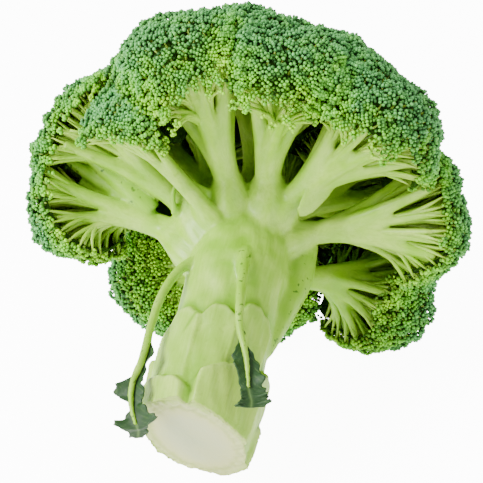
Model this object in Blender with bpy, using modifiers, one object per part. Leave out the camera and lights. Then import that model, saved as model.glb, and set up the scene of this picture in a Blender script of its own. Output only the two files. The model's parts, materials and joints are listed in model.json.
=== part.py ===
"""A head of broccoli lying on its side: the stalk with its branches, the bud heads and two leaves.

Lengths are millimetres and angles are degrees; MM turns a finished shape into metres.
The head is modelled upright. The fork of the stem is the origin, the stem runs down -Z to its
cut end, and -Y is the side that lies uppermost. The empty "lie" then tips everything over, so
that two bud heads and the rim of the cut rest on the ground plane, z = 0.
"""

import math

import bmesh
import bpy
import numpy as np
from mathutils import Vector

MM = 0.001

# The head as a whole
AXIS_RISE = 27.7  # angle between the head's axis and the ground, as it lies
FORK_PLACE = (0.7, 0.3, 54.1)  # where the fork comes to lie
CLEARANCE = 0.35  # gap between two solids that touch
SHARP_FROM = 40.0  # edges that turn more than this are shaded sharp

# The stem, by height along the axis
STEM_LENGTH = 82.0
STEM_LINE = (  # height, place across X, radius
    (-82.0, -3.4, 18.6),
    (-66.0, -2.7, 18.2),
    (-48.0, -1.4, 17.0),
    (-30.0, -0.6, 17.2),
    (-14.0, 0.0, 19.0),
    (0.0, 0.0, 19.0),
    (12.0, 0.0, 14.0),
)
STEM_STATIONS = 25
CUT_SLOPE = (-0.20, -0.12)  # rise of the cut face per millimetre across X and Y
CUT_REACH = 26.0  # how far up the stem the slope of the cut is felt
# Scars of trimmed leaf stalks: azimuth, height of the upper edge, half width, length, thickness
SCARS = (
    (-40, -66, 36, 18, 2.0),
    (38, -59, 38, 30, 2.2),
    (-42, -38, 32, 30, 1.6),
    (2, -38, 28, 26, 1.4),
    (90, -54, 34, 26, 2.0),
    (140, -62, 34, 26, 1.8),
    (-105, -50, 34, 30, 1.8),
    (180, -40, 32, 28, 1.6),
    (48, -34, 26, 26, 1.2),
)

# Bud heads: azimuth from -Y towards +X, tilt off the axis, distance of the centre from the fork,
# half width, height over the centre, angle at which the underside begins
HEADS = {
    "head_front": (13, 57, 58, 28, 26, 108),
    "head_front_right": (47, 65, 59, 27, 25, 105),
    "head_right": (89, 72, 58, 24, 22, 100),
    "head_back_right": (135, 75, 62, 25, 20, 100),
    "head_back": (183, 72, 49, 21, 18, 98),
    "head_back_left": (-145, 73, 63, 21.5, 18.5, 98),
    "head_left_lower": (-86, 79, 61, 23.5, 20, 100),
    "head_left_upper": (-69, 65, 61, 26, 24, 104),
    "head_left_small": (-42, 76, 57, 19, 15, 112),
    "head_front_left": (-18.5, 59, 61, 28, 26, 110),
    "head_top": (0, 14, 61, 32, 24, 100),
    "head_top_left": (-105, 37, 60, 30, 25, 100),
    "head_top_right": (113, 38, 60, 30, 25, 100),
    "head_top_back": (180, 42, 60, 30, 24, 100),
}
HEAD_SQUARENESS = 2.8  # 2 would be an ellipsoid, more fills the shoulders
HEAD_LOW = 0.8  # depth below the centre, as a share of the half width
HEAD_SOFTNESS = 18  # how sharply a head flattens against its neighbour
HEAD_GAP = 0.8  # gap between two neighbouring heads
CLUMPS_PER_HEAD = 14  # smaller heads on one of 25 mm half width
CLUMP_RISE = 0.05
CLUMP_CREASE = 0.12
BUD_LAYER = 8.0  # thickness of the bud layer
BUD_DENSITY = 0.175  # points per square millimetre of half width squared
BUD_HEIGHT = 1.9
RIM = 120.0  # polar angle on the guiding sphere at which outside turns to underside

# Branches: height at which each leaves the axis, sideways lean, set-back of its fan from the
# centre of the head, radius at the stem, radius at the fan
BRANCHES = {
    "head_front": (6, 7, 24, 10.5, 7.5),
    "head_front_right": (4, 3, 24, 8.5, 6.5),
    "head_right": (-2, 0, 24, 10, 7),
    "head_back_right": (-16, 0, 22, 7.5, 5.5),
    "head_back": (-10, 0, 19, 7, 5.5),
    "head_back_left": (-10, 0, 22, 8, 6),
    "head_left_lower": (-12, 0, 21, 9, 6.5),
    "head_left_upper": (-8, 0, 24, 9, 6.5),
    "head_left_small": (-4, 0, 20, 6, 4.0),
    "head_front_left": (4, -2, 25, 8.5, 7),
    "head_top": (8, 0, 26, 9, 7.5),
    "head_top_left": (6, 0, 26, 8, 6.5),
    "head_top_right": (6, 0, 26, 8, 6.5),
    "head_top_back": (4, 0, 26, 8, 6.5),
}
BRANCH_ROOT = 14.0  # a branch starts this far below the height at which it leaves the axis
BRANCH_BEND = 0.30
BRANCH_TIP = 0.6  # a branch narrows to this share of its radius inside its fan
BRANCH_STATIONS = 6
TWIG_RADII = (4.4, 3.2, 2.1)  # for a head of 25 mm half width
TWIG_TILT = 60.0  # tilt of the outer twigs off the head's axis
TWIG_SINK = 2.6  # how deep a twig ends in the bud layer

# The two small leaves: points of each leaf stalk and rib, then its radii
LEAF_STALKS = {
    "leaf_front": (
        ((3, -12, -8), (5, -18.5, -21), (7, -22, -38), (9, -23, -50), (13, -23, -61), (16, -22.5, -73)),
        (4.5, 2.4, 1.9, 1.6, 1.3, 0.8),
    ),
    "leaf_left": (
        (
            (-10, -6, -10),
            (-18, -12, -21),
            (-22, -14, -34),
            (-23, -15, -48),
            (-23, -16, -62),
            (-24, -17, -72),
            (-23, -16, -80),
            (-20, -15, -87),
        ),
        (4.0, 2.6, 2.5, 2.3, 1.9, 1.6, 1.2, 0.8),
    ),
}
# Each blade: the point of the rib at which it begins, the azimuth that it faces, and its half
# widths to the left and right of the rib, from its top to its tip
BLADES = {
    "leaf_front": (2, 12, (1, 4, 4.5, 5, 5.5, 5, 4, 4), (1, 4, 5, 5.5, 6, 5.5, 6, 4)),
    "leaf_left": (3, -20, (1, 1, 2, 6, 3, 6, 6, 3), (1, 4, 2, 5, 7, 5, 7, 4)),
}
BLADE_THICKNESS = 0.8
BLADE_GAP = 0.35
BLADE_WAVE = 0.8
BLADE_CURL = 0.05  # how strongly the edges lift
BLADE_ROWS = 15

# Small stalks and a leaf sheath that stay on the stem: points, then radii
STRAYS = (
    (((2, -9, 12), (-11, -15, 10), (-20, -20, 11), (-28, -22, 18)), (1.8, 1.6, 1.4, 1.1)),
    (((-24, -20, 14), (-26, -17, 8), (-25, -12, 2)), (1.2, 1.1, 1.4)),
    (((25, 7, 4), (21, 5, -14), (17, 3, -30), (15, 2, -44)), (6.5, 6.0, 4.5, 2.0)),
)
SHEATH_ENDS = ((20, -15, 3), (34, -27, 22))
SHEATH_HALF_WIDTH = 5.0
SHEATH_HALF_THICKNESS = 1.0

COLOURS = {  # linear colour and roughness
    "stalk_green": ((0.46, 0.62, 0.20, 1), 0.45),
    "bud_green": ((0.09, 0.20, 0.05, 1), 0.7),
    "leaf_green": ((0.03, 0.09, 0.04, 1), 0.55),
}


def polar(azimuth, tilt, length=1.0):
    """A point by its azimuth from -Y towards +X, its tilt off the axis and its distance."""
    a, t = math.radians(azimuth), math.radians(tilt)
    return length * np.array([math.sin(t) * math.sin(a), -math.sin(t) * math.cos(a), math.cos(t)])


def sunflower(count):
    """Evenly spread directions, in the spiral order of a sunflower's seeds."""
    i = np.arange(count) + 0.5
    z = 1 - 2 * i / count
    turn = math.pi * (1 + math.sqrt(5)) * i
    ring = np.sqrt(1 - z * z)
    return np.stack([ring * np.cos(turn), ring * np.sin(turn), z], axis=1)


def frame_on(axis):
    """Three unit rows: two directions across the axis, and the axis."""
    across = np.cross([0.0, 0.0, 1.0], axis)
    across /= np.linalg.norm(across)
    return np.stack([across, np.cross(axis, across), axis])


def seed_of(name):
    return sum(map(ord, name))


def head_reach(name, directions):
    """Distance from a head's centre to the outside of its buds along each direction.

    A flattened dome, raised into clumps with creases between them, and pressed flat where a
    neighbouring head stands against it.
    """
    azimuth, tilt, distance, half_width, height, _ = HEADS[name]
    axis = polar(azimuth, tilt)
    along = directions @ axis
    across = np.sqrt(np.clip(1 - along**2, 0, 1))
    depth = np.where(along > 0, height, HEAD_LOW * half_width)
    power = HEAD_SQUARENESS
    dome = ((np.abs(along) / depth) ** power + (across / half_width) ** power) ** (-1 / power)

    count = round(CLUMPS_PER_HEAD * half_width / 25)
    clumps = sunflower(count) @ frame_on(axis)
    clumps += np.random.default_rng(seed_of(name)).normal(0, 0.12, clumps.shape)
    clumps /= np.linalg.norm(clumps, axis=1)[:, None]
    nearest = np.arccos(np.clip((directions @ clumps.T).max(axis=1), -1, 1))
    spacing = 1.25 * math.acos(1 - 2 / count)
    dome *= 1 + CLUMP_RISE - CLUMP_CREASE * np.clip(nearest / spacing, 0, 1) ** 2

    sharp = float(HEAD_SOFTNESS)
    pressed = dome**-sharp
    centre = axis * distance
    size = (half_width + height) / 2
    for other, (a, t, d, other_width, other_height, _) in HEADS.items():
        if other == name:
            continue
        apart = polar(a, t, d) - centre
        length = np.linalg.norm(apart)
        other_size = (other_width + other_height) / 2
        wall = (length**2 + size**2 - other_size**2) / (2 * length) - HEAD_GAP / 2
        towards = directions @ (apart / length)
        facing = towards > 0.001
        pressed[facing] += (wall / towards[facing]) ** -sharp
    return pressed ** (-1 / sharp)


def new_object(name, mesh, finish=None):
    thing = bpy.data.objects.new(name, mesh)
    thing.parent = bpy.data.objects["lie"]
    if finish:
        mesh.materials.clear()
        mesh.materials.append(finish)
        mesh.shade_smooth()
        mesh.set_sharp_from_angle(angle=math.radians(SHARP_FROM))
    return thing


def tube(name, points, radii, resolution, collection, grow=0.0):
    """A tapering round branch along the points, as a closed mesh with welded end caps."""
    curve = bpy.data.curves.new(name, "CURVE")
    curve.dimensions = "3D"
    curve.bevel_depth = MM
    curve.bevel_resolution = resolution
    curve.use_fill_caps = True
    points = np.array(points, float)
    if grow:
        last = points[-1] - points[-2]
        points[-1] += grow * last / np.linalg.norm(last)
    spline = curve.splines.new("POLY")
    spline.points.add(len(points) - 1)
    for place, point, radius in zip(spline.points, points, radii):
        place.co = (*(MM * point), 1)
        place.radius = radius + grow
    guide = bpy.data.objects.new(name + "_guide", curve)
    bpy.context.scene.collection.objects.link(guide)
    graph = bpy.context.evaluated_depsgraph_get()
    mesh = bpy.data.meshes.new_from_object(guide.evaluated_get(graph))
    bpy.data.objects.remove(guide)
    weld(mesh)
    thing = new_object(name, mesh)
    collection.objects.link(thing)
    return thing


def weld(mesh):
    bm = bmesh.new()
    bm.from_mesh(mesh)
    bmesh.ops.remove_doubles(bm, verts=bm.verts, dist=0.01 * MM)
    bmesh.ops.recalc_face_normals(bm, faces=bm.faces)
    bm.to_mesh(mesh)
    bm.free()


def curve_through(start, bend, end, count):
    """Points of the curve that leaves start towards bend and arrives at end."""
    t = np.linspace(0, 1, count)[:, None]
    return (1 - t) ** 2 * np.array(start) + 2 * t * (1 - t) * np.array(bend) + t**2 * np.array(end)


def scar_relief(azimuth, height):
    """How far the trimmed leaf stalks stand out of the stem at one place on it.

    Each scar rises slowly towards its upper edge, which is an arc, and ends there in a step.
    """
    relief = 0.0
    for scar_azimuth, top, half_width, length, thickness in SCARS:
        aside = (azimuth - scar_azimuth + 180) % 360 - 180
        share = aside / half_width
        if abs(share) >= 1:
            continue
        edge = top - 0.35 * length * share**2
        below = (edge - height) / length
        if 0 <= below < 1:
            relief = max(relief, thickness * (1 - below) * (1 - share**2))
    return relief


def stem(collection, grow):
    """The main stem: a tapering tube with the scars raised on it and a slanted cut end."""
    levels, asides, widths = zip(*STEM_LINE)
    heights = np.linspace(levels[0], levels[-1], STEM_STATIONS)
    radii = np.interp(heights, levels, widths)
    points = [(0, 0, h) for h in heights]
    thing = tube("stem", points, radii, 9, collection, grow)
    for vertex in thing.data.vertices:
        x, y, z = vertex.co / MM
        radius = math.hypot(x, y)
        azimuth = math.degrees(math.atan2(x, -y))
        if radius > 1:
            stretch = 1 + scar_relief(azimuth, z) / radius
            x, y = x * stretch, y * stretch
        x += np.interp(z, levels, asides)
        share = max(0.0, 1 - (z + STEM_LENGTH) / CUT_REACH)
        z += share * (CUT_SLOPE[0] * x + CUT_SLOPE[1] * y)
        vertex.co = Vector((x, y, z)) * MM
    return thing


def twig_ends(name):
    """Where the twigs of a head reach its bud layer: one at the middle, the others round it."""
    azimuth, tilt, distance, half_width, _, _ = HEADS[name]
    axis = polar(azimuth, tilt)
    frame = frame_on(axis)
    around = 5 if half_width > 20 else 3
    rng = np.random.default_rng(seed_of(name) + 1)
    turns = 360 * (np.arange(around) + rng.uniform(-0.2, 0.2, around)) / around
    tilts = TWIG_TILT + rng.uniform(-9, 9, around)
    local = [polar(a, t) for a, t in zip(turns, tilts)] + [polar(0, 6)]
    directions = np.array(local) @ frame
    reach = head_reach(name, directions) - BUD_LAYER + TWIG_SINK
    return axis * distance + directions * reach[:, None]


def branch(name, collection, grow):
    """One branch from the stem to its head's fan, and the twigs of the fan."""
    azimuth, tilt, distance, half_width = HEADS[name][:4]
    leave, lean, set_back, thick, thin = BRANCHES[name]
    axis = polar(azimuth, tilt)
    fan = axis * (distance - set_back)
    bend = BRANCH_BEND * fan + np.array([lean, 0, leave + 4])
    points = curve_through((0.5 * lean, 0, leave - BRANCH_ROOT), bend, fan, BRANCH_STATIONS)
    radii = np.linspace(thick, thin, BRANCH_STATIONS)
    radii[-1] *= BRANCH_TIP
    tube(name + "_branch", points, radii, 2, collection, grow)
    twig_radii = np.array(TWIG_RADII) * half_width / 25
    for n, end in enumerate(twig_ends(name)):
        start = points[-2]
        middle = fan + 0.28 * np.linalg.norm(end - fan) * axis
        twig = curve_through(start, middle, end, len(TWIG_RADII))
        tube(f"{name}_twig{n}", twig, twig_radii, 1, collection, grow)


def sheath(collection, grow):
    """The pale pointed leaf sheath that clasps one branch: a long flat spindle."""
    low, high = (np.array(p, float) for p in SHEATH_ENDS)
    long = (high - low) / 2
    bm = bmesh.new()
    bmesh.ops.create_uvsphere(bm, u_segments=10, v_segments=8, radius=1)
    frame = frame_on(long / np.linalg.norm(long))
    size = (SHEATH_HALF_WIDTH + grow, SHEATH_HALF_THICKNESS + grow, np.linalg.norm(long) + grow)
    for vertex in bm.verts:
        vertex.co = Vector(MM * ((low + high) / 2 + (np.array(vertex.co) * size) @ frame))
    mesh = bpy.data.meshes.new("sheath")
    bm.to_mesh(mesh)
    bm.free()
    weld(mesh)
    collection.objects.link(new_object("sheath", mesh))


def grown_stalk(name, grow, finish=None):
    """The stem, branches, twigs and leaf stalks as one body, made larger all round by grow."""
    parts = bpy.data.collections.new(name + "_parts")
    bpy.context.scene.collection.children.link(parts)
    base = stem(parts, grow)
    for head in HEADS:
        branch(head, parts, grow)
    for n, (points, radii) in enumerate(STRAYS):
        tube(f"stray{n}", points, radii, 1, parts, grow)
    for leaf, (points, radii) in LEAF_STALKS.items():
        tube(leaf + "_stalk", points, radii, 2, parts, grow)
    sheath(parts, grow)

    parts.objects.unlink(base)
    bpy.context.scene.collection.objects.link(base)
    join = base.modifiers.new("join", "BOOLEAN")
    join.operation = "UNION"
    join.operand_type = "COLLECTION"
    join.collection = parts
    bpy.context.view_layer.update()
    graph = bpy.context.evaluated_depsgraph_get()
    mesh = bpy.data.meshes.new_from_object(base.evaluated_get(graph))
    mesh.name = name
    for thing in [base, *parts.objects]:
        bpy.data.objects.remove(thing)
    bpy.data.collections.remove(parts)
    return new_object(name, mesh, finish)


def head(name):
    """The bud layer of one head: a thick domed cap, hollow underneath, covered in buds.

    A sphere of sunflower points is skinned, each face outside is poked and its edges turned,
    so that every point becomes the tip of a six-sided bud. The sphere is then folded into
    the cap: its lower part becomes the hollow underside.
    """
    azimuth, tilt, distance, half_width, _, edge = HEADS[name]
    axis = polar(azimuth, tilt)
    bm = bmesh.new()
    for direction in sunflower(round(BUD_DENSITY * half_width**2)):
        bm.verts.new(direction)
    bmesh.ops.convex_hull(bm, input=bm.verts)
    rim = math.cos(math.radians(RIM))
    tips = {v for v in bm.verts if v.co.z > rim}
    outside = [f for f in bm.faces if tips.issuperset(f.verts)]
    shared = [e for e in bm.edges if all(f in outside for f in e.link_faces)]
    bmesh.ops.poke(bm, faces=outside)
    bmesh.ops.rotate_edges(bm, edges=shared, use_ccw=False)

    on_sphere = np.array([v.co.normalized() for v in bm.verts])
    angle = np.degrees(np.arccos(np.clip(on_sphere[:, 2], -1, 1)))
    turn = np.degrees(np.arctan2(on_sphere[:, 0], -on_sphere[:, 1]))
    under = angle > RIM
    tilts = np.where(under, (180 - angle) / (180 - RIM), angle / RIM) * edge
    directions = np.array([polar(a, t) for a, t in zip(turn, tilts)]) @ frame_on(axis)
    reach = head_reach(name, directions)
    is_tip = np.array([v in tips for v in bm.verts])
    reach[~is_tip] -= BUD_HEIGHT
    layer = (BUD_LAYER - BUD_HEIGHT) * np.sqrt(1 - (tilts[under] / edge) ** 4)
    reach[under] = np.maximum(reach[under] - layer, 0.3 * reach[under])
    places = MM * (axis * distance + directions * reach[:, None])
    for vertex, place in zip(bm.verts, places):
        vertex.co = Vector(place)
    bmesh.ops.recalc_face_normals(bm, faces=bm.faces)
    mesh = bpy.data.meshes.new(name)
    bm.to_mesh(mesh)
    bm.free()
    return mesh


def blade(name):
    """A torn leaf blade behind its rib: a waved sheet with a jagged edge, given its thickness."""
    first, facing, left, right = BLADES[name]
    points, radii = LEAF_STALKS[name]
    stations = np.arange(len(points[first:]))
    rows = np.linspace(0, stations[-1], BLADE_ROWS)
    rib = np.stack([np.interp(rows, stations, np.array(points[first:])[:, i]) for i in range(3)], 1)
    thick = np.interp(rows, stations, radii[first:])
    share = rows / stations[-1]
    sides = [np.interp(share, np.linspace(0, 1, len(w)), w) for w in (left, right)]
    along = np.gradient(rib, axis=0)
    along /= np.linalg.norm(along, axis=1)[:, None]
    outward = polar(facing, 90)
    across = np.cross(outward, along)
    back = thick + BLADE_GAP + BLADE_WAVE + BLADE_THICKNESS / 2

    bm = bmesh.new()
    bmesh.ops.create_grid(bm, x_segments=4, y_segments=BLADE_ROWS - 1, size=1)
    for vertex in bm.verts:
        row = round((vertex.co.y + 1) / 2 * (BLADE_ROWS - 1))
        side = vertex.co.x
        half = sides[0][row] if side < 0 else sides[1][row]
        jag = 1 + 0.18 * (-1) ** row * abs(side)
        wave = BLADE_WAVE * math.sin(1.7 * row + 2.5 * side)
        lift = wave - back[row] + BLADE_CURL * (side * half) ** 2
        place = rib[row] + across[row] * side * half * jag + outward * lift
        vertex.co = Vector(MM * place)
    bmesh.ops.triangulate(bm, faces=bm.faces)
    mesh = bpy.data.meshes.new(name)
    bm.to_mesh(mesh)
    bm.free()
    return mesh


def material(name):
    colour, roughness = COLOURS[name]
    finish = bpy.data.materials.new(name)
    finish.use_nodes = True
    shader = finish.node_tree.nodes["Principled BSDF"]
    shader.inputs["Base Color"].default_value = colour
    shader.inputs["Roughness"].default_value = roughness
    return finish


def cut(thing, cutter, label):
    """Takes the cutter's shape out of a piece."""
    modifier = thing.modifiers.new(label, "BOOLEAN")
    modifier.operation = "DIFFERENCE"
    modifier.object = cutter


def helper(thing, collection):
    """Keeps a cutter out of the finished model."""
    collection.objects.link(thing)
    thing.hide_render = True
    thing.display_type = "WIRE"


def main():
    for thing in list(bpy.data.objects):
        bpy.data.objects.remove(thing)
    broccoli = bpy.data.collections.new("broccoli_head")
    cutters = bpy.data.collections.new("cutters")
    for collection in (broccoli, cutters):
        bpy.context.scene.collection.children.link(collection)

    lie = bpy.data.objects.new("lie", None)
    lie.rotation_euler.x = math.radians(AXIS_RISE - 90)
    lie.location = Vector(FORK_PLACE) * MM
    broccoli.objects.link(lie)
    bpy.context.view_layer.update()

    bpy.ops.mesh.primitive_cube_add(size=1, location=(0, 0, -0.05))
    ground = bpy.context.active_object
    ground.name = "ground"
    ground.scale = (0.4, 0.4, 0.1)
    for collection in list(ground.users_collection):
        collection.objects.unlink(ground)
    helper(ground, cutters)

    finishes = {name: material(name) for name in COLOURS}
    stalk = grown_stalk("stalk", 0.0, finishes["stalk_green"])
    broccoli.objects.link(stalk)
    cut(stalk, ground, "flat_spot")
    socket = grown_stalk("socket", CLEARANCE)
    helper(socket, cutters)

    for name in HEADS:
        thing = new_object(name, head(name), finishes["bud_green"])
        broccoli.objects.link(thing)
        cut(thing, socket, "sockets")
        cut(thing, ground, "flat_spot")
    for name in BLADES:
        thing = new_object(name, blade(name), finishes["leaf_green"])
        broccoli.objects.link(thing)
        solidify = thing.modifiers.new("thickness", "SOLIDIFY")
        solidify.thickness = BLADE_THICKNESS * MM
        solidify.offset = 0


main()
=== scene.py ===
# %% [markdown]
# A head of broccoli is a tree in small. A thick pale stem forks into branches, the branches
# fork into twigs, the twigs into a fan of fine stalks, and every stalk carries a tight bunch of
# flower buds. From outside only the buds show, as a rough green crown; from the cut end one
# looks up into the branches.
#
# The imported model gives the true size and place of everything: the stalk and fourteen bud heads
# as closed solids. This lesson grows the fine parts in the same places, each from a formula, and
# then lights them. All shapes are worked out in the frame of the upright plant, in millimetres:
# the fork of the stem is the origin, the stem runs down -Z, and -Y is the side that ends up on
# top. One function then lays the plant on its side.

import json
import math

import bpy
import numpy as np
from mathutils import Matrix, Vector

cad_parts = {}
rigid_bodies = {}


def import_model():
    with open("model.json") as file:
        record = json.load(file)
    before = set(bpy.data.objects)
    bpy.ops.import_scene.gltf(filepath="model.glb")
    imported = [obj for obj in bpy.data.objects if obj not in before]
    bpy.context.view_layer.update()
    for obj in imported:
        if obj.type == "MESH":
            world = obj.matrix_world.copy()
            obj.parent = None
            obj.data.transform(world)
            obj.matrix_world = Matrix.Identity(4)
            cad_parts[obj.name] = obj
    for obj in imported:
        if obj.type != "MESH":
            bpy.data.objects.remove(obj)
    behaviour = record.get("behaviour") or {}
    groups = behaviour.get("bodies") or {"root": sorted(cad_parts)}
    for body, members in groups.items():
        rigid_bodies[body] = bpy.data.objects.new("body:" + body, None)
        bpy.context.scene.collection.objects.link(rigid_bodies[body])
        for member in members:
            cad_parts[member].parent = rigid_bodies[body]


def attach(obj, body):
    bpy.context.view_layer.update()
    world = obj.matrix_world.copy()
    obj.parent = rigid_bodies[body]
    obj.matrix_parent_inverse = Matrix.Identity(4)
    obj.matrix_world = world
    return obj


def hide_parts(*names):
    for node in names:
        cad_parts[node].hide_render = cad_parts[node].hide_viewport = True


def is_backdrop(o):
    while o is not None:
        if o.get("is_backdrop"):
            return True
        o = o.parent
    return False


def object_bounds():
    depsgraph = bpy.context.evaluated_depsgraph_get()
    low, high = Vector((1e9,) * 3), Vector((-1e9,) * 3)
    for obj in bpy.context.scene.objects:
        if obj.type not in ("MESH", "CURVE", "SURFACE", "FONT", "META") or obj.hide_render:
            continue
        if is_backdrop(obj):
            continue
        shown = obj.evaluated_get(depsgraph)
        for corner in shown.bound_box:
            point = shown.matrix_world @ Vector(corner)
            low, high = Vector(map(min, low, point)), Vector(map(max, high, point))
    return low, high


for leftover in list(bpy.data.objects):
    bpy.data.objects.remove(leftover)
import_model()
cad_low, cad_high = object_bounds()


def box_sides(low, high):
    """The side lengths of a box in millimetres."""
    return [round(1000 * (b - a), 1) for a, b in zip(low, high)]


print("the packed model measures", box_sides(cad_low, cad_high), "mm")

# %% [markdown]
# The head lies with its axis rising 27.7 degrees from the table, because the crown is much wider
# than the stem. Laying it down is one rotation about X and one shift, so it can be done to
# thousands of points at once by a matrix product.

# %% Lay the plant on its side
MM = 0.001
AXIS_RISE = math.radians(27.7)
FORK_PLACE = np.array([0.7, 0.3, 54.1])
RISE_SINE, RISE_COSINE = math.sin(AXIS_RISE), math.cos(AXIS_RISE)
LIE = np.array([[1, 0, 0], [0, RISE_SINE, RISE_COSINE], [0, -RISE_COSINE, RISE_SINE]])


def lay(points):
    """World points in metres: the rotated plant points plus the place of the fork."""
    return (points @ LIE.T + FORK_PLACE) * MM


def stand(points):
    """The reverse of lay: plant points in millimetres."""
    return (points / MM - FORK_PLACE) @ LIE


def unit(vectors):
    """Vectors divided by their length."""
    return vectors / np.maximum(np.linalg.norm(vectors, axis=-1, keepdims=True), 1e-9)


def polar(azimuth, tilt, length=1.0):
    """Points by azimuth from -Y towards +X, tilt off the axis and distance, in degrees."""
    a, t = np.radians(azimuth), np.radians(tilt)
    rows = [np.sin(t) * np.sin(a), -np.sin(t) * np.cos(a), np.cos(t) + 0 * a]
    return np.stack(rows, axis=-1) * np.asarray(length)[..., None]


print("the cut end comes to lie at", np.round(lay(np.array([0, 0, -82.0])), 4))

# %% [markdown]
# The picture is taken from in front of the cut end, from a little to the right and from above, with
# a long lens. The camera's three axes follow from its two angles: "back" points from the plant to
# the camera, "right" lies level, and "up" is their cross product. One helper puts a camera, a
# light or a mesh in the scene, and another makes a matrix from three axes and a place.

# %% Camera
VIEW_AZIMUTH = math.radians(11.2)
VIEW_RISE = math.radians(26.3)
VIEW_DISTANCE = 0.65
LENS = 134.4
SENSOR_WIDTH = 36
AIM_SHIFT = 0.00126


def put(name, data, matrix=None):
    """A new object in the scene, at the origin unless it is given a matrix."""
    thing = bpy.data.objects.new(name, data)
    if matrix is not None:
        thing.matrix_world = Matrix(matrix.tolist())
    bpy.context.scene.collection.objects.link(thing)
    return thing


def axes_at(place, right, up, back):
    """The matrix whose columns are three axes and a place."""
    matrix = np.eye(4)
    matrix[:3] = np.stack([right, up, back, place], axis=1)
    return matrix


level_back = np.array([math.sin(VIEW_AZIMUTH), -math.cos(VIEW_AZIMUTH), 0])
back = level_back * math.cos(VIEW_RISE) + [0, 0, math.sin(VIEW_RISE)]
right = np.array([math.cos(VIEW_AZIMUTH), math.sin(VIEW_AZIMUTH), 0])
up = np.cross(back, right)
place = FORK_PLACE * MM + AIM_SHIFT * (up - right) + VIEW_DISTANCE * back

camera_data = bpy.data.cameras.new("camera")
camera_data.lens = LENS
camera_data.sensor_width = SENSOR_WIDTH
bpy.context.scene.camera = put("camera", camera_data, axes_at(place, right, up, back))
print("the camera stands at", np.round(place, 3))

# %% [markdown]
# Studio light for food is large and soft, so that wet-looking highlights stay broad. One big
# panel above and to the left gives the shape, weaker ones low on the left and on the right open
# the shadows, one behind rims the crown, and the pale world fills the rest.

# %% Lights
LIGHTS = {  # place in metres, size, power in watts
    "key_panel": ((-0.80, -0.42, 0.82), 0.42, 26.0),
    "low_panel": ((-0.70, -0.75, 0.16), 0.50, 5.5),
    "fill_panel": ((0.85, -0.65, 0.45), 0.70, 4.0),
    "rim_panel": ((0.10, 0.70, 0.95), 0.60, 4.5),
}
LIT_POINT = np.array([0, 0, 0.06])
WORLD_COLOUR = (0.95, 0.97, 1.0, 1)
WORLD_STRENGTH = 0.64


def panel(name, where, size, power):
    """A square area light that faces the middle of the plant."""
    lamp = bpy.data.lights.new(name, "AREA")
    lamp.size = size
    lamp.energy = power
    away = unit(np.array(where) - LIT_POINT)
    side = unit(np.cross([0, 0, 1.0], away))
    put(name, lamp, axes_at(where, side, np.cross(away, side), away))


for name, settings in LIGHTS.items():
    panel(name, *settings)

world = bpy.data.worlds.new("pale_room")
world.use_nodes = True
glow = world.node_tree.nodes["Background"].inputs
glow["Color"].default_value = WORLD_COLOUR
glow["Strength"].default_value = WORLD_STRENGTH
bpy.context.scene.world = world
print(len(LIGHTS), "panels of light")

# %% [markdown]
# Every piece goes through one helper: points in the plant's frame, sets of faces as index
# arrays, and named values per point for the materials to read. foreach_set copies whole arrays,
# which is what keeps a million small faces quick.

# %% Mesh helper
def on_table(points):
    """World points in metres; what would reach into the table is pressed flat on it."""
    world_points = lay(points)
    world_points[:, 2] = np.maximum(world_points[:, 2], 0)
    return world_points


def give_values(mesh, values):
    """Stores arrays on a mesh's points under their names: (n,) numbers or (n, 3) vectors."""
    for name, array in values.items():
        array = np.asarray(array, np.float32)
        kind, key = ("FLOAT", "value") if array.ndim == 1 else ("FLOAT_VECTOR", "vector")
        attribute = mesh.attributes.new(name, kind, "POINT")
        attribute.data.foreach_set(key, array.ravel())


def piece(name, points, face_sets, values=None, material=None):
    """A mesh from plant points (n, 3) and arrays of face corners, each (faces, corners)."""
    mesh = bpy.data.meshes.new(name)
    corners = np.concatenate([f.ravel() for f in face_sets]).astype(np.int32)
    totals = np.concatenate([np.full(len(f), f.shape[1]) for f in face_sets])
    starts = np.concatenate([[0], np.cumsum(totals)[:-1]]).astype(np.int32)
    mesh.vertices.add(len(points))
    mesh.vertices.foreach_set("co", on_table(points).astype(np.float32).ravel())
    mesh.loops.add(len(corners))
    mesh.loops.foreach_set("vertex_index", corners)
    mesh.polygons.add(len(totals))
    mesh.polygons.foreach_set("loop_start", starts)
    mesh.update(calc_edges=True)
    mesh.validate()
    give_values(mesh, values or {})
    mesh.shade_smooth()
    if material:
        mesh.materials.append(material)
    return put(name, mesh)


def keep(thing, slot, *nodes):
    """The piece rides on the plant and stands for model nodes, which are hidden; slot is not used.
    """
    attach(thing, "root")
    if nodes:
        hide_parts(*nodes)


print("mesh helpers ready")

# %% [markdown]
# Materials are graphs of nodes. One helper makes a node, sets its options and fills its inputs: an
# input that is itself a socket is linked, anything else becomes the socket's value. Short helpers
# for the nodes that come up often keep a finish readable as a recipe.

# %% Node helpers
def fill(tree, made, inputs):
    """Links or sets each input of a node, by name or number."""
    for key, value in inputs.items():
        if isinstance(value, bpy.types.NodeSocket):
            tree.links.new(value, made.inputs[key])
        else:
            made.inputs[key].default_value = value


def node(tree, kind, inputs=None, **options):
    """Adds a node of a kind, sets its options by name and fills its inputs."""
    made = tree.nodes.new(kind)
    for key, value in options.items():
        setattr(made, key, value)
    fill(tree, made, inputs or {})
    return made


def values_of(tree, *names, part="Fac"):
    """The outputs of attribute nodes that read a piece's own values by name."""
    return [node(tree, "ShaderNodeAttribute", attribute_name=n).outputs[part] for n in names]


def own_place(tree):
    """Coordinates of the object itself."""
    return node(tree, "ShaderNodeTexCoord").outputs["Object"]


def noise(tree, place, scale, detail):
    """Soft noise about 0.5, with more or fewer fine layers."""
    inputs = {"Vector": place, "Scale": scale, "Detail": detail}
    return node(tree, "ShaderNodeTexNoise", inputs).outputs[0]


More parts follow.
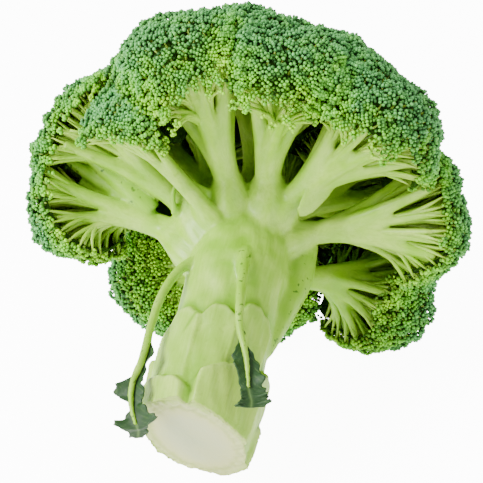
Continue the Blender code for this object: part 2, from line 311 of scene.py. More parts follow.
def stretch(tree, value, low, high):
    """A value spread so that low becomes 0 and high becomes 1."""
    inputs = {"Value": value, "From Min": low, "From Max": high}
    return node(tree, "ShaderNodeMapRange", inputs).outputs[0]


def reckon(tree, operation, *values):
    """One arithmetic step on numbers."""
    return node(tree, "ShaderNodeMath", dict(enumerate(values)), operation=operation).outputs[0]


def times(tree, value, share):
    """Value x share."""
    return reckon(tree, "MULTIPLY", value, share)


def ramp(tree, fac, stops):
    """Colours by position, blended smoothly in between."""
    made = node(tree, "ShaderNodeValToRGB", {"Fac": fac})
    elements = made.color_ramp.elements
    while len(elements) < len(stops):
        elements.new(0.5)
    for element, (position, colour) in zip(elements, stops):
        element.position = position
        element.color = (*colour, 1)
    return made.outputs["Color"]


def mix(tree, fac, first, second, blend="MIX"):
    """One colour over another by a factor."""
    first, second = ((*c, 1) if isinstance(c, tuple) else c for c in (first, second))
    inputs = {"Factor": fac, 6: first, 7: second}
    return node(tree, "ShaderNodeMix", inputs, data_type="RGBA", blend_type=blend).outputs[2]


def coats(tree, base, *layers):
    """Colours laid over a base one by one, each where its mask times its share says."""
    for mask, share, colour in layers:
        base = mix(tree, times(tree, mask, share), base, colour)
    return base


def bumpy(tree, height, strength, distance, **under):
    """A normal that follows a height, on top of another normal where one is given."""
    inputs = {"Height": height, "Strength": strength, "Distance": distance, **under}
    return node(tree, "ShaderNodeBump", inputs).outputs[0]


def finish_of(name, recipe):
    """A material whose Principled shader gets the inputs that a recipe works out."""
    material = bpy.data.materials.new(name)
    material.use_nodes = True
    tree = material.node_tree
    fill(tree, tree.nodes["Principled BSDF"], recipe(tree))
    print(name, "has", len(tree.nodes), "nodes")
    return material


print("node helpers ready")

# %% [markdown]
# Living tissue is never one even colour. The same mottling serves stalk, buds and leaves: soft
# noise at two scales, put out as a mask for the colour and a height for the bump. It is built
# once as a node group with named sockets, and each material places it with its own size.

# %% Mottling shared by all finishes
def build_mottling():
    """0.6 of a broad noise and 0.4 of one four times as fine."""
    group = bpy.data.node_groups.new("mottling", "ShaderNodeTree")
    sockets = {"Place": "Vector", "Size": "Float", "Mask": "Float", "Height": "Float"}
    for name, kind in sockets.items():
        way = "INPUT" if name in ("Place", "Size") else "OUTPUT"
        group.interface.new_socket(name, in_out=way, socket_type="NodeSocket" + kind)
    inside = node(group, "NodeGroupInput")
    place, size = inside.outputs["Place"], inside.outputs["Size"]
    broad = noise(group, place, size, 2.0)
    fine = noise(group, place, times(group, size, 4.0), 3.0)
    both = reckon(group, "MULTIPLY_ADD", fine, 0.4, times(group, broad, 0.6))
    node(group, "NodeGroupOutput", {"Mask": stretch(group, both, 0.36, 0.64), "Height": both})
    return group


MOTTLING = build_mottling()


def mottled(tree, place, size):
    """Places the mottling group and returns its mask and height."""
    made = node(tree, "ShaderNodeGroup", {"Place": place, "Size": size}, node_tree=MOTTLING)
    return made.outputs["Mask"], made.outputs["Height"]


print("mottling group has", len(MOTTLING.nodes), "nodes")

# %% [markdown]
# The stalk is watery flesh under a thin waxy skin. Light goes a few millimetres into it, so its
# shadows are soft and green, which is what subsurface scattering does. The stem is nearly white
# where it is thick and greener towards the twigs, with fine fibres along it; the cut face is
# creamy, with a coarse pale ring where the fibres run.

# %% Stalk finish
STEM_TO_TWIG = (
    (0.0, (0.22, 0.48, 0.008)),
    (0.2, (0.25, 0.51, 0.007)),
    (0.45, (0.28, 0.54, 0.007)),
    (0.8, (0.28, 0.55, 0.006)),
    (1.0, (0.26, 0.53, 0.004)),
)
MIDDLE_TO_RIM = (
    (0.0, (0.40, 0.46, 0.26)),
    (0.5, (0.47, 0.51, 0.28)),
    (0.72, (0.52, 0.54, 0.22)),
    (0.82, (0.38, 0.46, 0.11)),
    (0.90, (0.52, 0.58, 0.22)),
    (1.0, (0.36, 0.52, 0.08)),
)
ON_STALK = ("green", "cut", "rim", "scar", "groove", "lip", "speck")


def stalk_recipe(tree):
    """Colour by how far out on the plant, then the paler scars (partly painted highlight), painted
    shade above their edges and a painted highlight below them, specks, fibres, and the cut face on
    top.
    """
    green, cut, rim, scar, groove, lip, speck = values_of(tree, *ON_STALK)
    (grain,) = values_of(tree, "grain", part="Vector")
    place = own_place(tree)
    mask, height = mottled(tree, place, 42.0)
    fibre = noise(tree, grain, 0.9, 3.0)
    skin_colour = coats(
        tree,
        ramp(tree, green, STEM_TO_TWIG),
        (mask, 0.75, (0.50, 0.71, 0.11)),
        # the raised scar faces paler: partly the scar tissue's own tone, partly a painted highlight
        (scar, 0.6, (0.48, 0.69, 0.11)),
        # painted highlight: a pale line just under each scar's upper edge
        (lip, 0.5, (0.54, 0.70, 0.18)),
        # painted shade: darker green in the step just above each scar's upper edge
        (groove, 0.95, (0.16, 0.35, 0.004)),
        (speck, 0.3, (0.16, 0.42, 0.006)),
        (stretch(tree, noise(tree, place, 520.0, 1.0), 0.66, 0.72), speck, (0.05, 0.15, 0.006)),
        (stretch(tree, fibre, 0.4, 0.65), 0.3, (0.20, 0.42, 0.01)),
    )
    torn = reckon(tree, "SUBTRACT", noise(tree, place, 420.0, 4.0), 0.5)
    flesh = ramp(tree, reckon(tree, "MULTIPLY_ADD", torn, 0.22, rim), MIDDLE_TO_RIM)
    flesh = coats(tree, flesh, (mask, 0.5, (0.52, 0.54, 0.22)))
    return {
        "Base Color": mix(tree, cut, skin_colour, flesh),
        "Roughness": 0.42,
        "Normal": bumpy(tree, height, 0.3, 0.001, Normal=bumpy(tree, fibre, 0.25, 0.0006)),
        "Subsurface Weight": 0.2,
        "Subsurface Radius": (1.0, 1.1, 0.45),
        "Subsurface Scale": 0.0025,
        "IOR": 1.4,
        "Coat Weight": 0.15,
        "Coat Roughness": 0.24,
    }


STALK_GREEN = finish_of("stalk_green", stalk_recipe)

# %% [markdown]
# Buds are yellow-green where the sun hasn't reached them and blue-green with a pale waxy bloom on
# the crown. Each one is lighter at its tip, partly its own paler tip and partly a painted
# highlight, and darkest at its foot where it meets its neighbours, which is painted shade; the
# creases between the bunches are painted shade as well.

# %% Bud finish
UNRIPE_TO_RIPE = (
    (0.0, (0.21, 0.45, 0.004)),
    (0.3, (0.13, 0.39, 0.006)),
    (0.65, (0.088, 0.32, 0.026)),
    (1.0, (0.068, 0.27, 0.060)),
)


def bud_recipe(tree):
    """Colour by ripeness, times painted light and shade by height on the bud, times luck, with
    painted shade in the creases.
    """
    ripe, crevice, luck, level = values_of(tree, "ripe", "crevice", "luck", "level")
    mask, _ = mottled(tree, own_place(tree), 90.0)
    patches = times(tree, reckon(tree, "SUBTRACT", mask, 0.5), 0.35)
    base = ramp(tree, reckon(tree, "ADD", ripe, patches), UNRIPE_TO_RIPE)
    # painted light and shade: dark at each bud's foot, light at its tip
    light = mix(tree, level, (0.2, 0.2, 0.2), (1.75, 1.72, 1.75))
    chance = mix(tree, luck, (0.6, 0.66, 0.66), (1.4, 1.32, 1.4))
    for factor in (light, chance):
        base = mix(tree, 1.0, base, factor, "MULTIPLY")
    # painted shade: darker towards the rim of each bunch, in the creases between them
    deep = stretch(tree, crevice, 0.45, 1.05)
    return {
        "Base Color": coats(tree, base, (deep, 0.8, (0.016, 0.055, 0.002))),
        "Roughness": 0.55,
        "Subsurface Weight": 0.1,
        "Subsurface Radius": (0.6, 1.0, 0.2),
        "Subsurface Scale": 0.001,
        "Specular IOR Level": 0.3,
    }


BUD_GREEN = finish_of("bud_green", bud_recipe)

# %% [markdown]
# Deep between the buds lies a tangle of bud stalks in shadow. Its finish is painted shade: no shine
# at all, only a dark yellow-green that varies a little, and darker still in the creases.

# %% Painted shade for the tangle under the buds
def tangle_recipe(tree):
    """Painted shade: dark green, mottled, quite matt."""
    mask, _ = mottled(tree, own_place(tree), 300.0)
    (crevice,) = values_of(tree, "crevice")
    colour = mix(tree, mask, (0.014, 0.048, 0.002), (0.05, 0.13, 0.004))
    # painted shade, darker still in the creases
    colour = coats(tree, colour, (crevice, 0.7, (0.012, 0.04, 0.002)))
    return {"Base Color": colour, "Roughness": 0.9, "Specular IOR Level": 0.1}


TANGLE_SHADE = finish_of("tangle_painted_shade", tangle_recipe)

# %% [markdown]
# The leaves are dark, with a bluish wax on them that is thickest towards the edges, and pale veins.

# %% Leaf finish
def leaf_recipe(tree):
    """Dark green, bluer by the edge where the wax lies, pale along the veins."""
    vein, edge = values_of(tree, "vein", "edge")
    mask, height = mottled(tree, own_place(tree), 140.0)
    wax = times(tree, reckon(tree, "ADD", edge, mask), 0.5)
    base = mix(tree, wax, (0.007, 0.034, 0.002), (0.020, 0.062, 0.016))
    relief = reckon(tree, "SUBTRACT", height, times(tree, vein, 0.6))
    rough = node(tree, "ShaderNodeMapRange", {"Value": mask, "To Min": 0.5, "To Max": 0.7})
    return {
        "Base Color": coats(tree, base, (vein, 0.6, (0.12, 0.22, 0.05))),
        "Roughness": rough.outputs[0],
        "Normal": bumpy(tree, relief, 0.5, 0.0005),
        "Specular IOR Level": 0.35,
    }


LEAF_GREEN = finish_of("leaf_green", leaf_recipe)

# %% [markdown]
# The table is matt and nearly white, with the faintest unevenness. It is lit from below, as a
# product photographer's table is, so that shadows on it stay pale. What the lens sees of it is
# brighter than what falls on the plant, as on a picture that was exposed for a white ground.

# %% Table finish
def table_recipe(tree):
    """Near-white, and brighter to the lens by the Is Camera Ray test."""
    mask, _ = mottled(tree, own_place(tree), 6.0)
    seen = node(tree, "ShaderNodeLightPath").outputs["Is Camera Ray"]
    return {
        "Base Color": mix(tree, mask, (0.86, 0.86, 0.86), (0.88, 0.88, 0.88)),
        "Roughness": 0.7,
        "Emission Color": (1.0, 1.0, 1.0, 1),
        "Emission Strength": reckon(tree, "MULTIPLY_ADD", seen, 10.0, 1.2),
    }


PALE_TABLE = finish_of("pale_table", table_recipe)

# %% [markdown]
# A stalk of any size is a tube: a ring of points carried along a curved path. Each path here is a
# quadratic curve through a start, towards a bend, to an end. Such a curve is flat, so the normal
# of its plane serves as one side of every ring and nothing can twist. All tubes of one kind are
# made together, as arrays of shape (tubes, stations, sides, 3).

# %% Tubes
def curve(start, bend, end, count):
    """Points (1-t)^2 start + 2t(1-t) bend + t^2 end, for arrays of tubes (m, 3)."""
    t = np.linspace(0, 1, count)[None, :, None]
    start, bend, end = (np.asarray(p, float)[:, None, :] for p in (start, bend, end))
    return (1 - t) ** 2 * start + 2 * t * (1 - t) * bend + t**2 * end


def rings(paths, radii, sides, wobble=None):
    """Rings of points round paths (m, s, 3): path + radius (cos a side + sin a other side)."""
    along = unit(np.gradient(paths, axis=1))
    chord = paths[:, -1] - paths[:, 0]
    middle = paths[:, paths.shape[1] // 2] - (paths[:, 0] + paths[:, -1]) / 2
    normal = np.cross(chord, middle)
    weak = np.linalg.norm(normal, axis=1) < 1e-6 * np.linalg.norm(chord, axis=1) ** 2
    normal[weak] = np.cross(chord[weak], [0.3, 1.0, 0.2])
    normal = unit(normal)[:, None, :]
    side = unit(normal - along * (normal * along).sum(-1, keepdims=True))
    other = np.cross(along, side)
    turn = 2 * math.pi * np.arange(sides) / sides
    reach = radii[:, :, None] * np.ones(sides)
    if wobble is not None:
        reach = reach * (1 + wobble(turn[None, None, :], np.arange(len(paths))[:, None, None]))
    cosine, sine = np.cos(turn)[:, None], np.sin(turn)[:, None]
    ring = cosine * side[:, :, None, :] + sine * other[:, :, None, :]
    return paths[:, :, None, :] + reach[..., None] * ring


def tube_faces(count, stations, sides):
    """Quads between neighbouring rings, and one end face at each end, of count tubes."""
    tube = np.arange(count)[:, None, None] * stations * sides
    ring = np.arange(stations - 1)[None, :, None] * sides
    here = np.arange(sides)[None, None, :]
    there = (here + 1) % sides
    low = tube + ring
    quads = np.stack([low + here, low + there, low + sides + there, low + sides + here], axis=-1)
    first = tube[:, :, 0] + np.arange(sides)[None, ::-1]
    last = tube[:, :, 0] + (stations - 1) * sides + np.arange(sides)[None, :]
    return quads.reshape(-1, 4), np.concatenate([first, last])


def tube_sketch(paths, radii, sides, wobble=None):
    """Points and faces of tubes, closed at both ends."""
    points = rings(paths, radii, sides, wobble)
    return points.reshape(-1, 3), tube_faces(*paths.shape[:2], sides)


def join_sketches(sketches):
    """Points and faces of several sketches in a row, each face index shifted by what is before."""
    points, faces, before = [], [], 0
    for some_points, some_faces in sketches:
        points.append(some_points)
        faces.extend(f + before for f in some_faces)
        before += len(some_points)
    return np.concatenate(points), faces


print("tube helpers ready")

# %% [markdown]
# The bud heads follow the same rule as in the model: each is a squarish dome round a centre,
# raised into smaller heads with creases between them, and pressed flat where a neighbour stands
# against it. head_reach gives the distance from the centre to that surface in any direction, so
# every bud and stalk can find its place without looking at the others. On the real plant the
# heads grow into one crown: clumps bulge over most of the seams and leave only a few dark gaps,
# so the surface is lifted along each seam by an uneven amount.

# %% The form of the heads
# azimuth, tilt, distance of the centre, half width, height, angle where the underside begins
HEADS = {
    "head_front": (13, 57, 58, 28, 26, 108),
    "head_front_right": (47, 65, 59, 27, 25, 105),
    "head_right": (89, 72, 58, 24, 22, 100),
    "head_back_right": (135, 75, 62, 25, 20, 100),
    "head_back": (183, 72, 49, 22.5, 18, 98),
    "head_back_left": (-143, 74, 63, 24, 19, 98),
    "head_left_lower": (-86, 79, 61, 23.5, 20, 100),
    "head_left_upper": (-69, 65, 61, 26, 24, 104),
    "head_left_small": (-42, 76, 57, 19, 15, 112),
    "head_front_left": (-18.5, 59, 61, 28, 26, 110),
    "head_top": (0, 14, 61, 32, 24, 100),
    "head_top_left": (-105, 37, 60, 30, 25, 100),
    "head_top_right": (113, 38, 60, 30, 25, 100),
    "head_top_back": (180, 42, 60, 30, 24, 100),
}
HEAD_SQUARENESS = 2.8
HEAD_LOW = 0.8
HEAD_SOFTNESS = 18.0
HEAD_GAP = -0.4
CLUMPS_PER_HEAD = 14
CLUMP_RISE = 0.05
CLUMP_CREASE = 0.12
CLUMP_SCATTER = 0.12
VALLEY_FILL = 2.6
VALLEY_WIDTH = 5.0
SEAM_WANDER = 2.8
SEAM_REACH = 50.0  # heads whose centres are nearer than this grow into each other
WANDER_SIZE = 2.4
USUAL_HALF_WIDTH = 25
GOLDEN_TURN = math.pi * (1 + math.sqrt(5))


def sunflower(count):
    """Evenly spread directions: heights in equal steps, each turned by the golden angle."""
    i = np.arange(count) + 0.5
    z = 1 - 2 * i / count
    turn = GOLDEN_TURN * i
    ring = np.sqrt(1 - z * z)
    return np.stack([ring * np.cos(turn), ring * np.sin(turn), z], axis=1)


def frame_on(axis):
    """Rows: two directions across the axis, and the axis."""
    across = unit(np.cross([0.0, 0.0, 1.0], axis))
    return np.stack([across, np.cross(axis, across), axis])


def sides_of(directions):
    """Two directions across each given one."""
    first = unit(np.cross(directions, [0.31, 0.57, 0.76]))
    return first, np.cross(directions, first)


def gaps(points, others):
    """Distances from all points to all others: the root of p^2 + o^2 - 2 p o."""
    square = (points**2).sum(1)[:, None] + (others**2).sum(1) - 2 * points @ others.T
    return np.sqrt(np.maximum(square, 0))


def seed_of(name):
    """A fixed number for the random draws of one head."""
    return sum(map(ord, name))


def axis_of(name):
    """The direction that a head faces."""
    return polar(*HEADS[name][:2])


def centre_of(name):
    """The middle of a head's dome."""
    return polar(*HEADS[name][:3])


def gentle_waves(points, size):
    """Smooth unevenness from -1 to 1: products of slow sines, turned against each other."""
    x, y, z = (points / size).T
    first = np.sin(x + 0.6 * z) * np.sin(1.1 * y - 0.5 * z + 1.0)
    return 0.6 * first + 0.4 * np.sin(1.9 * x + 2.3 * y + 0.8 * z + 2.0)


def walls(name):
    """For each neighbour: its name, the way to it, its distance, and where the wall stands.

    Two balls of sizes r and s at distance d meet in a plane (d^2 + r^2 - s^2) / 2d from the first.
    """
    size = {head: (row[3] + row[4]) / 2 for head, row in HEADS.items()}
    found = []
    for other in HEADS:
        if other != name:
            apart = centre_of(other) - centre_of(name)
            length = np.linalg.norm(apart)
            wall = (length**2 + size[name] ** 2 - size[other] ** 2) / (2 * length)
            found.append((other, apart / length, length, wall))
    return found


def head_reach(name, directions, whole=False):
    """Dome (|along|/depth)^q + (across/width)^q = 1, times clumps, softly capped by the walls.

    Each wall wanders a little to and fro, the same way for both neighbours. With whole, the
    dome without the walls.
    """
    half_width, height = HEADS[name][3:5]
    axis = axis_of(name)
    along = directions @ axis
    across = np.sqrt(np.clip(1 - along**2, 0, 1))
    depth = np.where(along > 0, height, HEAD_LOW * half_width)
    q = HEAD_SQUARENESS
    dome = ((np.abs(along) / depth) ** q + (across / half_width) ** q) ** (-1 / q)
    count = round(CLUMPS_PER_HEAD * half_width / USUAL_HALF_WIDTH)
    clumps = sunflower(count) @ frame_on(axis)
    rng = np.random.default_rng(seed_of(name))
    clumps = unit(clumps + rng.normal(0, CLUMP_SCATTER, clumps.shape))
    nearest = np.arccos(np.clip((directions @ clumps.T).max(axis=1), -1, 1))
    spacing = 1.25 * math.acos(1 - 2 / count)
    dome = dome * (1 + CLUMP_RISE - CLUMP_CREASE * np.clip(nearest / spacing, 0, 1) ** 2)
    if whole:
        return dome
    pressed = dome**-HEAD_SOFTNESS
    for other, way, length, wall in walls(name):
        towards = np.maximum(directions @ way, 1e-3)
        sign = 1 if name < other else -1
        on_wall = axis * HEADS[name][2] + directions * np.minimum(wall / towards, dome)[:, None]
        wander = SEAM_WANDER * gentle_waves(on_wall, WANDER_SIZE) if length < SEAM_REACH else 0
        pressed = pressed + ((wall - HEAD_GAP / 2 + sign * wander) / towards) ** -HEAD_SOFTNESS
    return pressed ** (-1 / HEAD_SOFTNESS)


def valley_fill(name, directions, reach):
    """Shift fill x e^-(gap/width)^2 along each wall, where gap is how far the wall still is."""
    shift = np.zeros_like(directions)
    for _, way, length, wall in walls(name):
        if length < SEAM_REACH:
            towards = directions @ way
            gap = wall - reach * towards
            in_wall = unit(directions - towards[:, None] * way)
            phase = 0.9 * in_wall @ (centre_of(name) + length * way) + 2.4 * length
            ragged = 0.74 + 0.26 * np.sin(phase)
            bell = VALLEY_FILL * ragged * np.exp(-((gap / VALLEY_WIDTH) ** 2))
            shift += bell[:, None] * in_wall
    return shift


def on_head(name, directions, sink=0.0):
    """Points on a head's surface along directions, moved in towards its centre by sink."""
    reach = head_reach(name, directions)
    shift = valley_fill(name, directions, reach)
    return centre_of(name) + directions * (reach - sink)[:, None] + shift


def outward(name, directions):
    """Surface normals: the cross product of two short steps over the surface."""
    here = on_head(name, directions)
    one, two = (on_head(name, unit(directions + 0.02 * s)) - here for s in sides_of(directions))
    return unit(np.cross(one, two))


print("the front head reaches", head_reach("head_front", polar([13], [57])).round(1))

# %% [markdown]
# Buds grow about evenly over a head, but an even spread of directions isn't even on the surface:
# points crowd where the surface is near the centre. So a dense spread is thinned, each point kept
# with a chance that matches the patch it stands for, and then the points push their neighbours
# apart for a few rounds. The close bud layer ends at a line, like the rim of a cap. On the side
# of the cut end the caps are short, and one looks up into the fans of stalks.

# %% Even spreads over a head
PACKING = 0.87  # area that one point of an even spread stands for, over its spacing squared
SPARE = 1.35  # the dense spread is reckoned for a ball this much wider than the head
LEAST_FACING = 0.35
PUSH_REACH = 1.25  # neighbours nearer than this many spacings push each other
PUSH_SHARE = 0.22


def spread(name, spacing, edge, seed, rounds=5):
    """Directions whose surface points stand about one spacing apart, up to the edge angle."""
    axis = axis_of(name)
    count = int(4 * math.pi * (SPARE * HEADS[name][3]) ** 2 / (PACKING * spacing**2))
    directions = sunflower(count) @ frame_on(axis)
    lowest = math.cos(math.radians(edge))
    directions = directions[directions @ axis > lowest]
    reach = head_reach(name, directions)
    facing = np.clip((outward(name, directions) * directions).sum(1), LEAST_FACING, 1)
    patch = 4 * math.pi * reach**2 / facing / count
    rng = np.random.default_rng(seed_of(name) + seed)
    directions = directions[rng.uniform(size=len(directions)) < patch / (PACKING * spacing**2)]
    for _ in range(rounds):
        points = on_head(name, directions).astype(np.float32)
        apart = points[:, None, :] - points[None, :, :]
        gap = np.sqrt((apart**2).sum(-1)) + 1e-6
        push = np.clip(PUSH_REACH * spacing - gap, 0, None) / gap
        np.fill_diagonal(push, 0)
        points = points + PUSH_SHARE * (apart * push[..., None]).sum(axis=1)
        directions = unit(points - centre_of(name))
        directions = directions[directions @ axis > lowest]
    return directions


# Angles of the bud line at these turns from the open side round the head's axis
TURNS = (-180, -110, -60, -30, 0, 30, 60, 110, 180)
OPEN_SIDE = np.array([0.17, -0.80, -0.57])
BUD_LINES = {
    "head_front": (100, 98, 88, 80, 77, 80, 88, 98, 100),
    "head_front_right": (100, 100, 98, 90, 68, 66, 62, 90, 100),
    "head_right": (96, 72, 58, 54, 54, 58, 72, 94, 96),
    "head_back_right": (96, 100, 114, 118, 116, 114, 108, 100, 96),
    "head_back_left": (98, 130, 148, 152, 152, 150, 146, 120, 98),
    "head_left_lower": (110, 138, 112, 72, 56, 46, 46, 76, 104),
    "head_left_upper": (98, 72, 51, 46, 48, 58, 84, 98, 98),
    "head_left_small": (100, 48, 40, 58, 96, 108, 110, 110, 108),
    "head_front_left": (100, 100, 98, 92, 72, 60, 64, 92, 100),
    "head_top_left": (93, 104, 124, 132, 132, 130, 124, 104, 93),
    "head_top": (93, 98, 106, 110, 110, 110, 106, 98, 93),
    "head_top_right": (93, 98, 108, 112, 112, 112, 108, 98, 93),
    "head_back": (95, 108, 118, 124, 124, 124, 118, 108, 95),
}
PLAIN_LINE = (93, 91, 90, 88, 88, 88, 90, 91, 93)
PLAIN_RIM = 94
CUT_AWAY = 1.12


def open_way(name):
    """The direction across a head's axis that points most to the open side."""
    axis = axis_of(name)
    return unit(OPEN_SIDE - axis * (OPEN_SIDE @ axis))


def bud_line(name, directions):
    """The angle off the axis where the close buds end, by the turn round the head's axis."""
    first = open_way(name)
    second = np.cross(axis_of(name), first)
    turn = np.degrees(np.arctan2(directions @ second, directions @ first))
    wave = 3.0 * np.sin(np.radians(5 * turn)) + 2.0 * np.sin(np.radians(13 * turn + 40))
    return np.interp(turn, TURNS, BUD_LINES.get(name, PLAIN_LINE)) + wave


def ripe_line(name, directions):
    """Where the colour of unripe buds begins: half way from the bud line to a plain rim."""
    return 0.5 * (bud_line(name, directions) + PLAIN_RIM)


def bud_edge(name):
    """The largest angle at which a head carries anything."""
    return max(HEADS[name][5], *BUD_LINES.get(name, PLAIN_LINE)) + 2


def between_heads(name, directions):
    """True where a wall has cut away so much of the dome that nothing is seen from outside."""
    return head_reach(name, directions, whole=True) > CUT_AWAY * head_reach(name, directions)


def off_axis(name, directions):
    """Angles between directions and the head's axis, in degrees."""
    return np.degrees(np.arccos(np.clip(directions @ axis_of(name), -1, 1)))


print("bunch sites on the front head:", len(spread("head_front", 5.0, 108, 1)))

# %% [markdown]
# The thick stalk is the part that everything else hangs on. On the real plant the branches grow
# out of the stem without any seam, with soft webs of flesh in the forks. Tubes pushed into each
# other show hard creases instead. So the tubes are only a first sketch: a voxel remesh turns all
# of them into one skin, and smoothing draws the webs in the forks.

# %% Values of the stem and branches
STEM_LINE = (  # height, place across X, radius
    (-88.0, -3.8, 18.7),
    (-82.0, -3.4, 18.6),
    (-66.0, -2.7, 18.2),
    (-48.0, -1.4, 17.0),
    (-30.0, -0.6, 17.4),
    (-15.0, 0.0, 18.4),
    (-4.0, 0.0, 17.2),
    (6.0, 0.0, 13.5),
    (12.0, 0.0, 10.0),
)
CUT_PLANE = np.array([0.20, 0.12, 1.0])
CUT_LEVEL = -82.0
# Scars: azimuth, height of the upper edge, half width in degrees, length, thickness
SCARS = (
    (-40, -66, 36, 18, 2.0),
    (38, -59, 38, 30, 2.2),
    (-42, -38, 32, 30, 1.6),
    (2, -38, 28, 26, 1.4),
    (90, -54, 34, 26, 2.0),
    (140, -62, 34, 26, 1.8),
    (-105, -50, 34, 30, 1.8),
    (180, -40, 32, 28, 1.6),
    (48, -34, 26, 26, 1.2),
)
# Height at which it leaves the axis, sideways lean, set-back of the fan, radii at both ends
BRANCHES = {
    "head_front": (6, 7, 24, 10.5, 7.5),
    "head_front_right": (4, 3, 24, 8.5, 6.5),
    "head_right": (-2, 0, 24, 10, 7),
    "head_back_right": (-16, 0, 22, 7.5, 5.5),
    "head_back": (-10, 0, 19, 7, 5.5),
    "head_back_left": (-10, 0, 22, 8, 6),
    "head_left_lower": (-12, 0, 21, 10, 9.0),
    "head_left_upper": (-8, 0, 24, 10.5, 9.5),
    "head_left_small": (-4, 0, 20, 6, 4.0),
    "head_front_left": (4, -2, 25, 8.5, 7),
    "head_top": (8, 0, 26, 9, 7.5),
    "head_top_left": (6, 0, 26, 8, 6.5),
    "head_top_right": (6, 0, 26, 8, 6.5),
    "head_top_back": (4, 0, 26, 8, 6.5),
}
BRANCH_ROOT = 14.0
BRANCH_BEND = 0.30
BUD_LAYER = 8.0
TWIG_SINK = 2.6
TWIG_TILT = 60.0
TWIG_RADII = (4.5, 1.9)
LOW_TWIG = 0.72
STEM_SIDES, BRANCH_SIDES, TWIG_SIDES, LONG_SIDES = 96, 20, 12, 14
STEM_LEVELS, STEM_ASIDES, STEM_RADII = zip(*STEM_LINE)


def stem_path(heights):
    """The stem's middle line at given heights, moved across X by the stem's lean."""
    return np.stack([np.interp(heights, STEM_LEVELS, STEM_ASIDES), 0 * heights, heights], axis=1)


def branch_points(name):
    """Start, bend, end and direction of the branch that carries a head."""
    leave, lean, set_back = BRANCHES[name][:3]
    axis = axis_of(name)
    fan = axis * (HEADS[name][2] - set_back)
    bend = BRANCH_BEND * fan + np.array([lean, 0, leave + 4])
    return np.array([0.5 * lean, 0, leave - BRANCH_ROOT]), bend, fan, axis


def twig_ends(name):
    """Directions, ends and sizes of the twigs of a head: some round it and one at the middle."""
    around = 5 if HEADS[name][3] > 20 else 3
    rng = np.random.default_rng(seed_of(name) + 1)
    turns = 360 * (np.arange(around) + rng.uniform(-0.2, 0.2, around)) / around
    tilts = TWIG_TILT + rng.uniform(-9, 9, around)
    directions = polar(np.append(turns, 0), np.append(tilts, 6)) @ frame_on(axis_of(name))
    return directions, on_head(name, directions, BUD_LAYER - TWIG_SINK), np.ones(len(directions))


def low_twig_ends(name):
    """The same for twigs that fan out on the open side and end just inside the bud layer's rim."""
    axis, first = axis_of(name), open_way(name)
    rng = np.random.default_rng(seed_of(name) + 3)
    turns = np.array([-84, -50, -17, 17, 50, 84]) + rng.uniform(-7, 7, 6)
    local = polar(90 + turns, np.full(6, 80.0)) @ np.stack([np.cross(axis, first), -first, axis])
    angle = np.radians(bud_line(name, local) - 5 + rng.uniform(-4, 4, 6))[:, None]
    across = unit(local - axis * (local @ axis)[:, None])
    directions = np.cos(angle) * axis + np.sin(angle) * across
    directions = directions[~between_heads(name, directions)]
    return directions, on_head(name, directions, 4.5), np.full(len(directions), LOW_TWIG)


def all_twigs(name):
    """Both kinds of twigs: directions, ends and shares of the full thickness."""
    return map(np.concatenate, zip(twig_ends(name), low_twig_ends(name)))


print(len(BRANCHES), "branches and", sum(len(list(all_twigs(n))[0]) for n in HEADS), "twigs")

# %% [markdown]
# The stem keeps the scars of the leaf stalks that were trimmed off. Each is a low pad: a rounded
# upper edge that steps out of the stem, a nearly flat face, and a long fade downwards. A scar's
# height is its thickness times a quick rise below the edge times a slow fade, and the surface
# takes the highest of all scars at each point.

# %% Relief of the stem
SCAR_FLATNESS = 11.0


def scar_relief(azimuth, height):
    """Pad heights, and masks of painted shade above and painted highlight below each upper edge.

    Pad: thickness x (1 - e^(-depth/shoulder)) x fade x shape, plus a share of what a flat chord
    stands above the round stem; the highest pad wins. Painted shade and painted highlight are bells
    over the edge.
    """
    relief, groove, lip = (np.zeros_like(azimuth) for _ in range(3))
    for middle, top, half_width, length, thickness in SCARS:
        across = ((azimuth - middle + 180) % 360 - 180) / half_width
        edge = top - 0.30 * length * across**2 + 2.2 * math.sin(middle) * across
        edge = edge + 0.5 * np.sin(5.3 * across + middle) + 0.25 * np.sin(12 * across + 2 * middle)
        below = edge - height
        rise = 1 - np.exp(-np.clip(below, 0, None) / 0.6)
        fade = np.clip(1 - below / length, 0, 1) ** 0.8
        shape = np.clip(2.4 * (1 - np.abs(across) ** 3), 0, 1)
        flat = SCAR_FLATNESS * (1 / np.cos(np.radians(np.clip(across, -1, 1) * half_width)) - 1)
        pad = np.where(below > 0, (1.5 * thickness + flat) * rise * fade * shape, 0)
        inside = np.clip(1.3 - np.abs(across), 0, 0.3) / 0.3
        # painted shade: a bell just above the pad's upper edge
        groove = np.maximum(groove, inside * np.exp(-(((below + 0.9) / 1.6) ** 2)))
        hidden = pad > relief
        groove = np.where(hidden & (below > 1.5), groove * 0.3, groove)
        # painted highlight: a bell just under the pad's upper edge
        lip = np.where(hidden, shape * np.exp(-(((below - 1.6) / 1.3) ** 2)), lip)
        relief = np.maximum(relief, pad)
    return relief, groove, lip


def stem_sketch():
    """The stem as one tube, its radius by height, rounded off at the top."""
    heights = np.arange(STEM_LEVELS[0], STEM_LEVELS[-1], 1.0)
    radius = np.interp(heights, STEM_LEVELS, STEM_RADII)
    radius[-6:] *= np.sqrt(1 - (np.arange(1, 7) / 6.6) ** 2)
    return tube_sketch(stem_path(heights)[None], radius[None], STEM_SIDES)


def uneven(turn, which):
    """A slightly ribbed outline: two slow waves round each branch, different on each one."""
    return 0.07 * np.cos(3 * turn + 2.1 * which) + 0.04 * np.cos(5 * turn + 1.3 * which)


print("stem sketch:", len(stem_sketch()[0]), "points")

# %% [markdown]
# A branch swells at its root, where it leaves the stem. Its radius is a straight taper with an
# exponential swelling at the root, and it thins out again inside the fan, where its twigs part.

# %% Branches and twigs
BRANCH_STATIONS = 26
TWIG_STATIONS = 16
FORK_STATION = -8
FORK_THINNING = 0.62


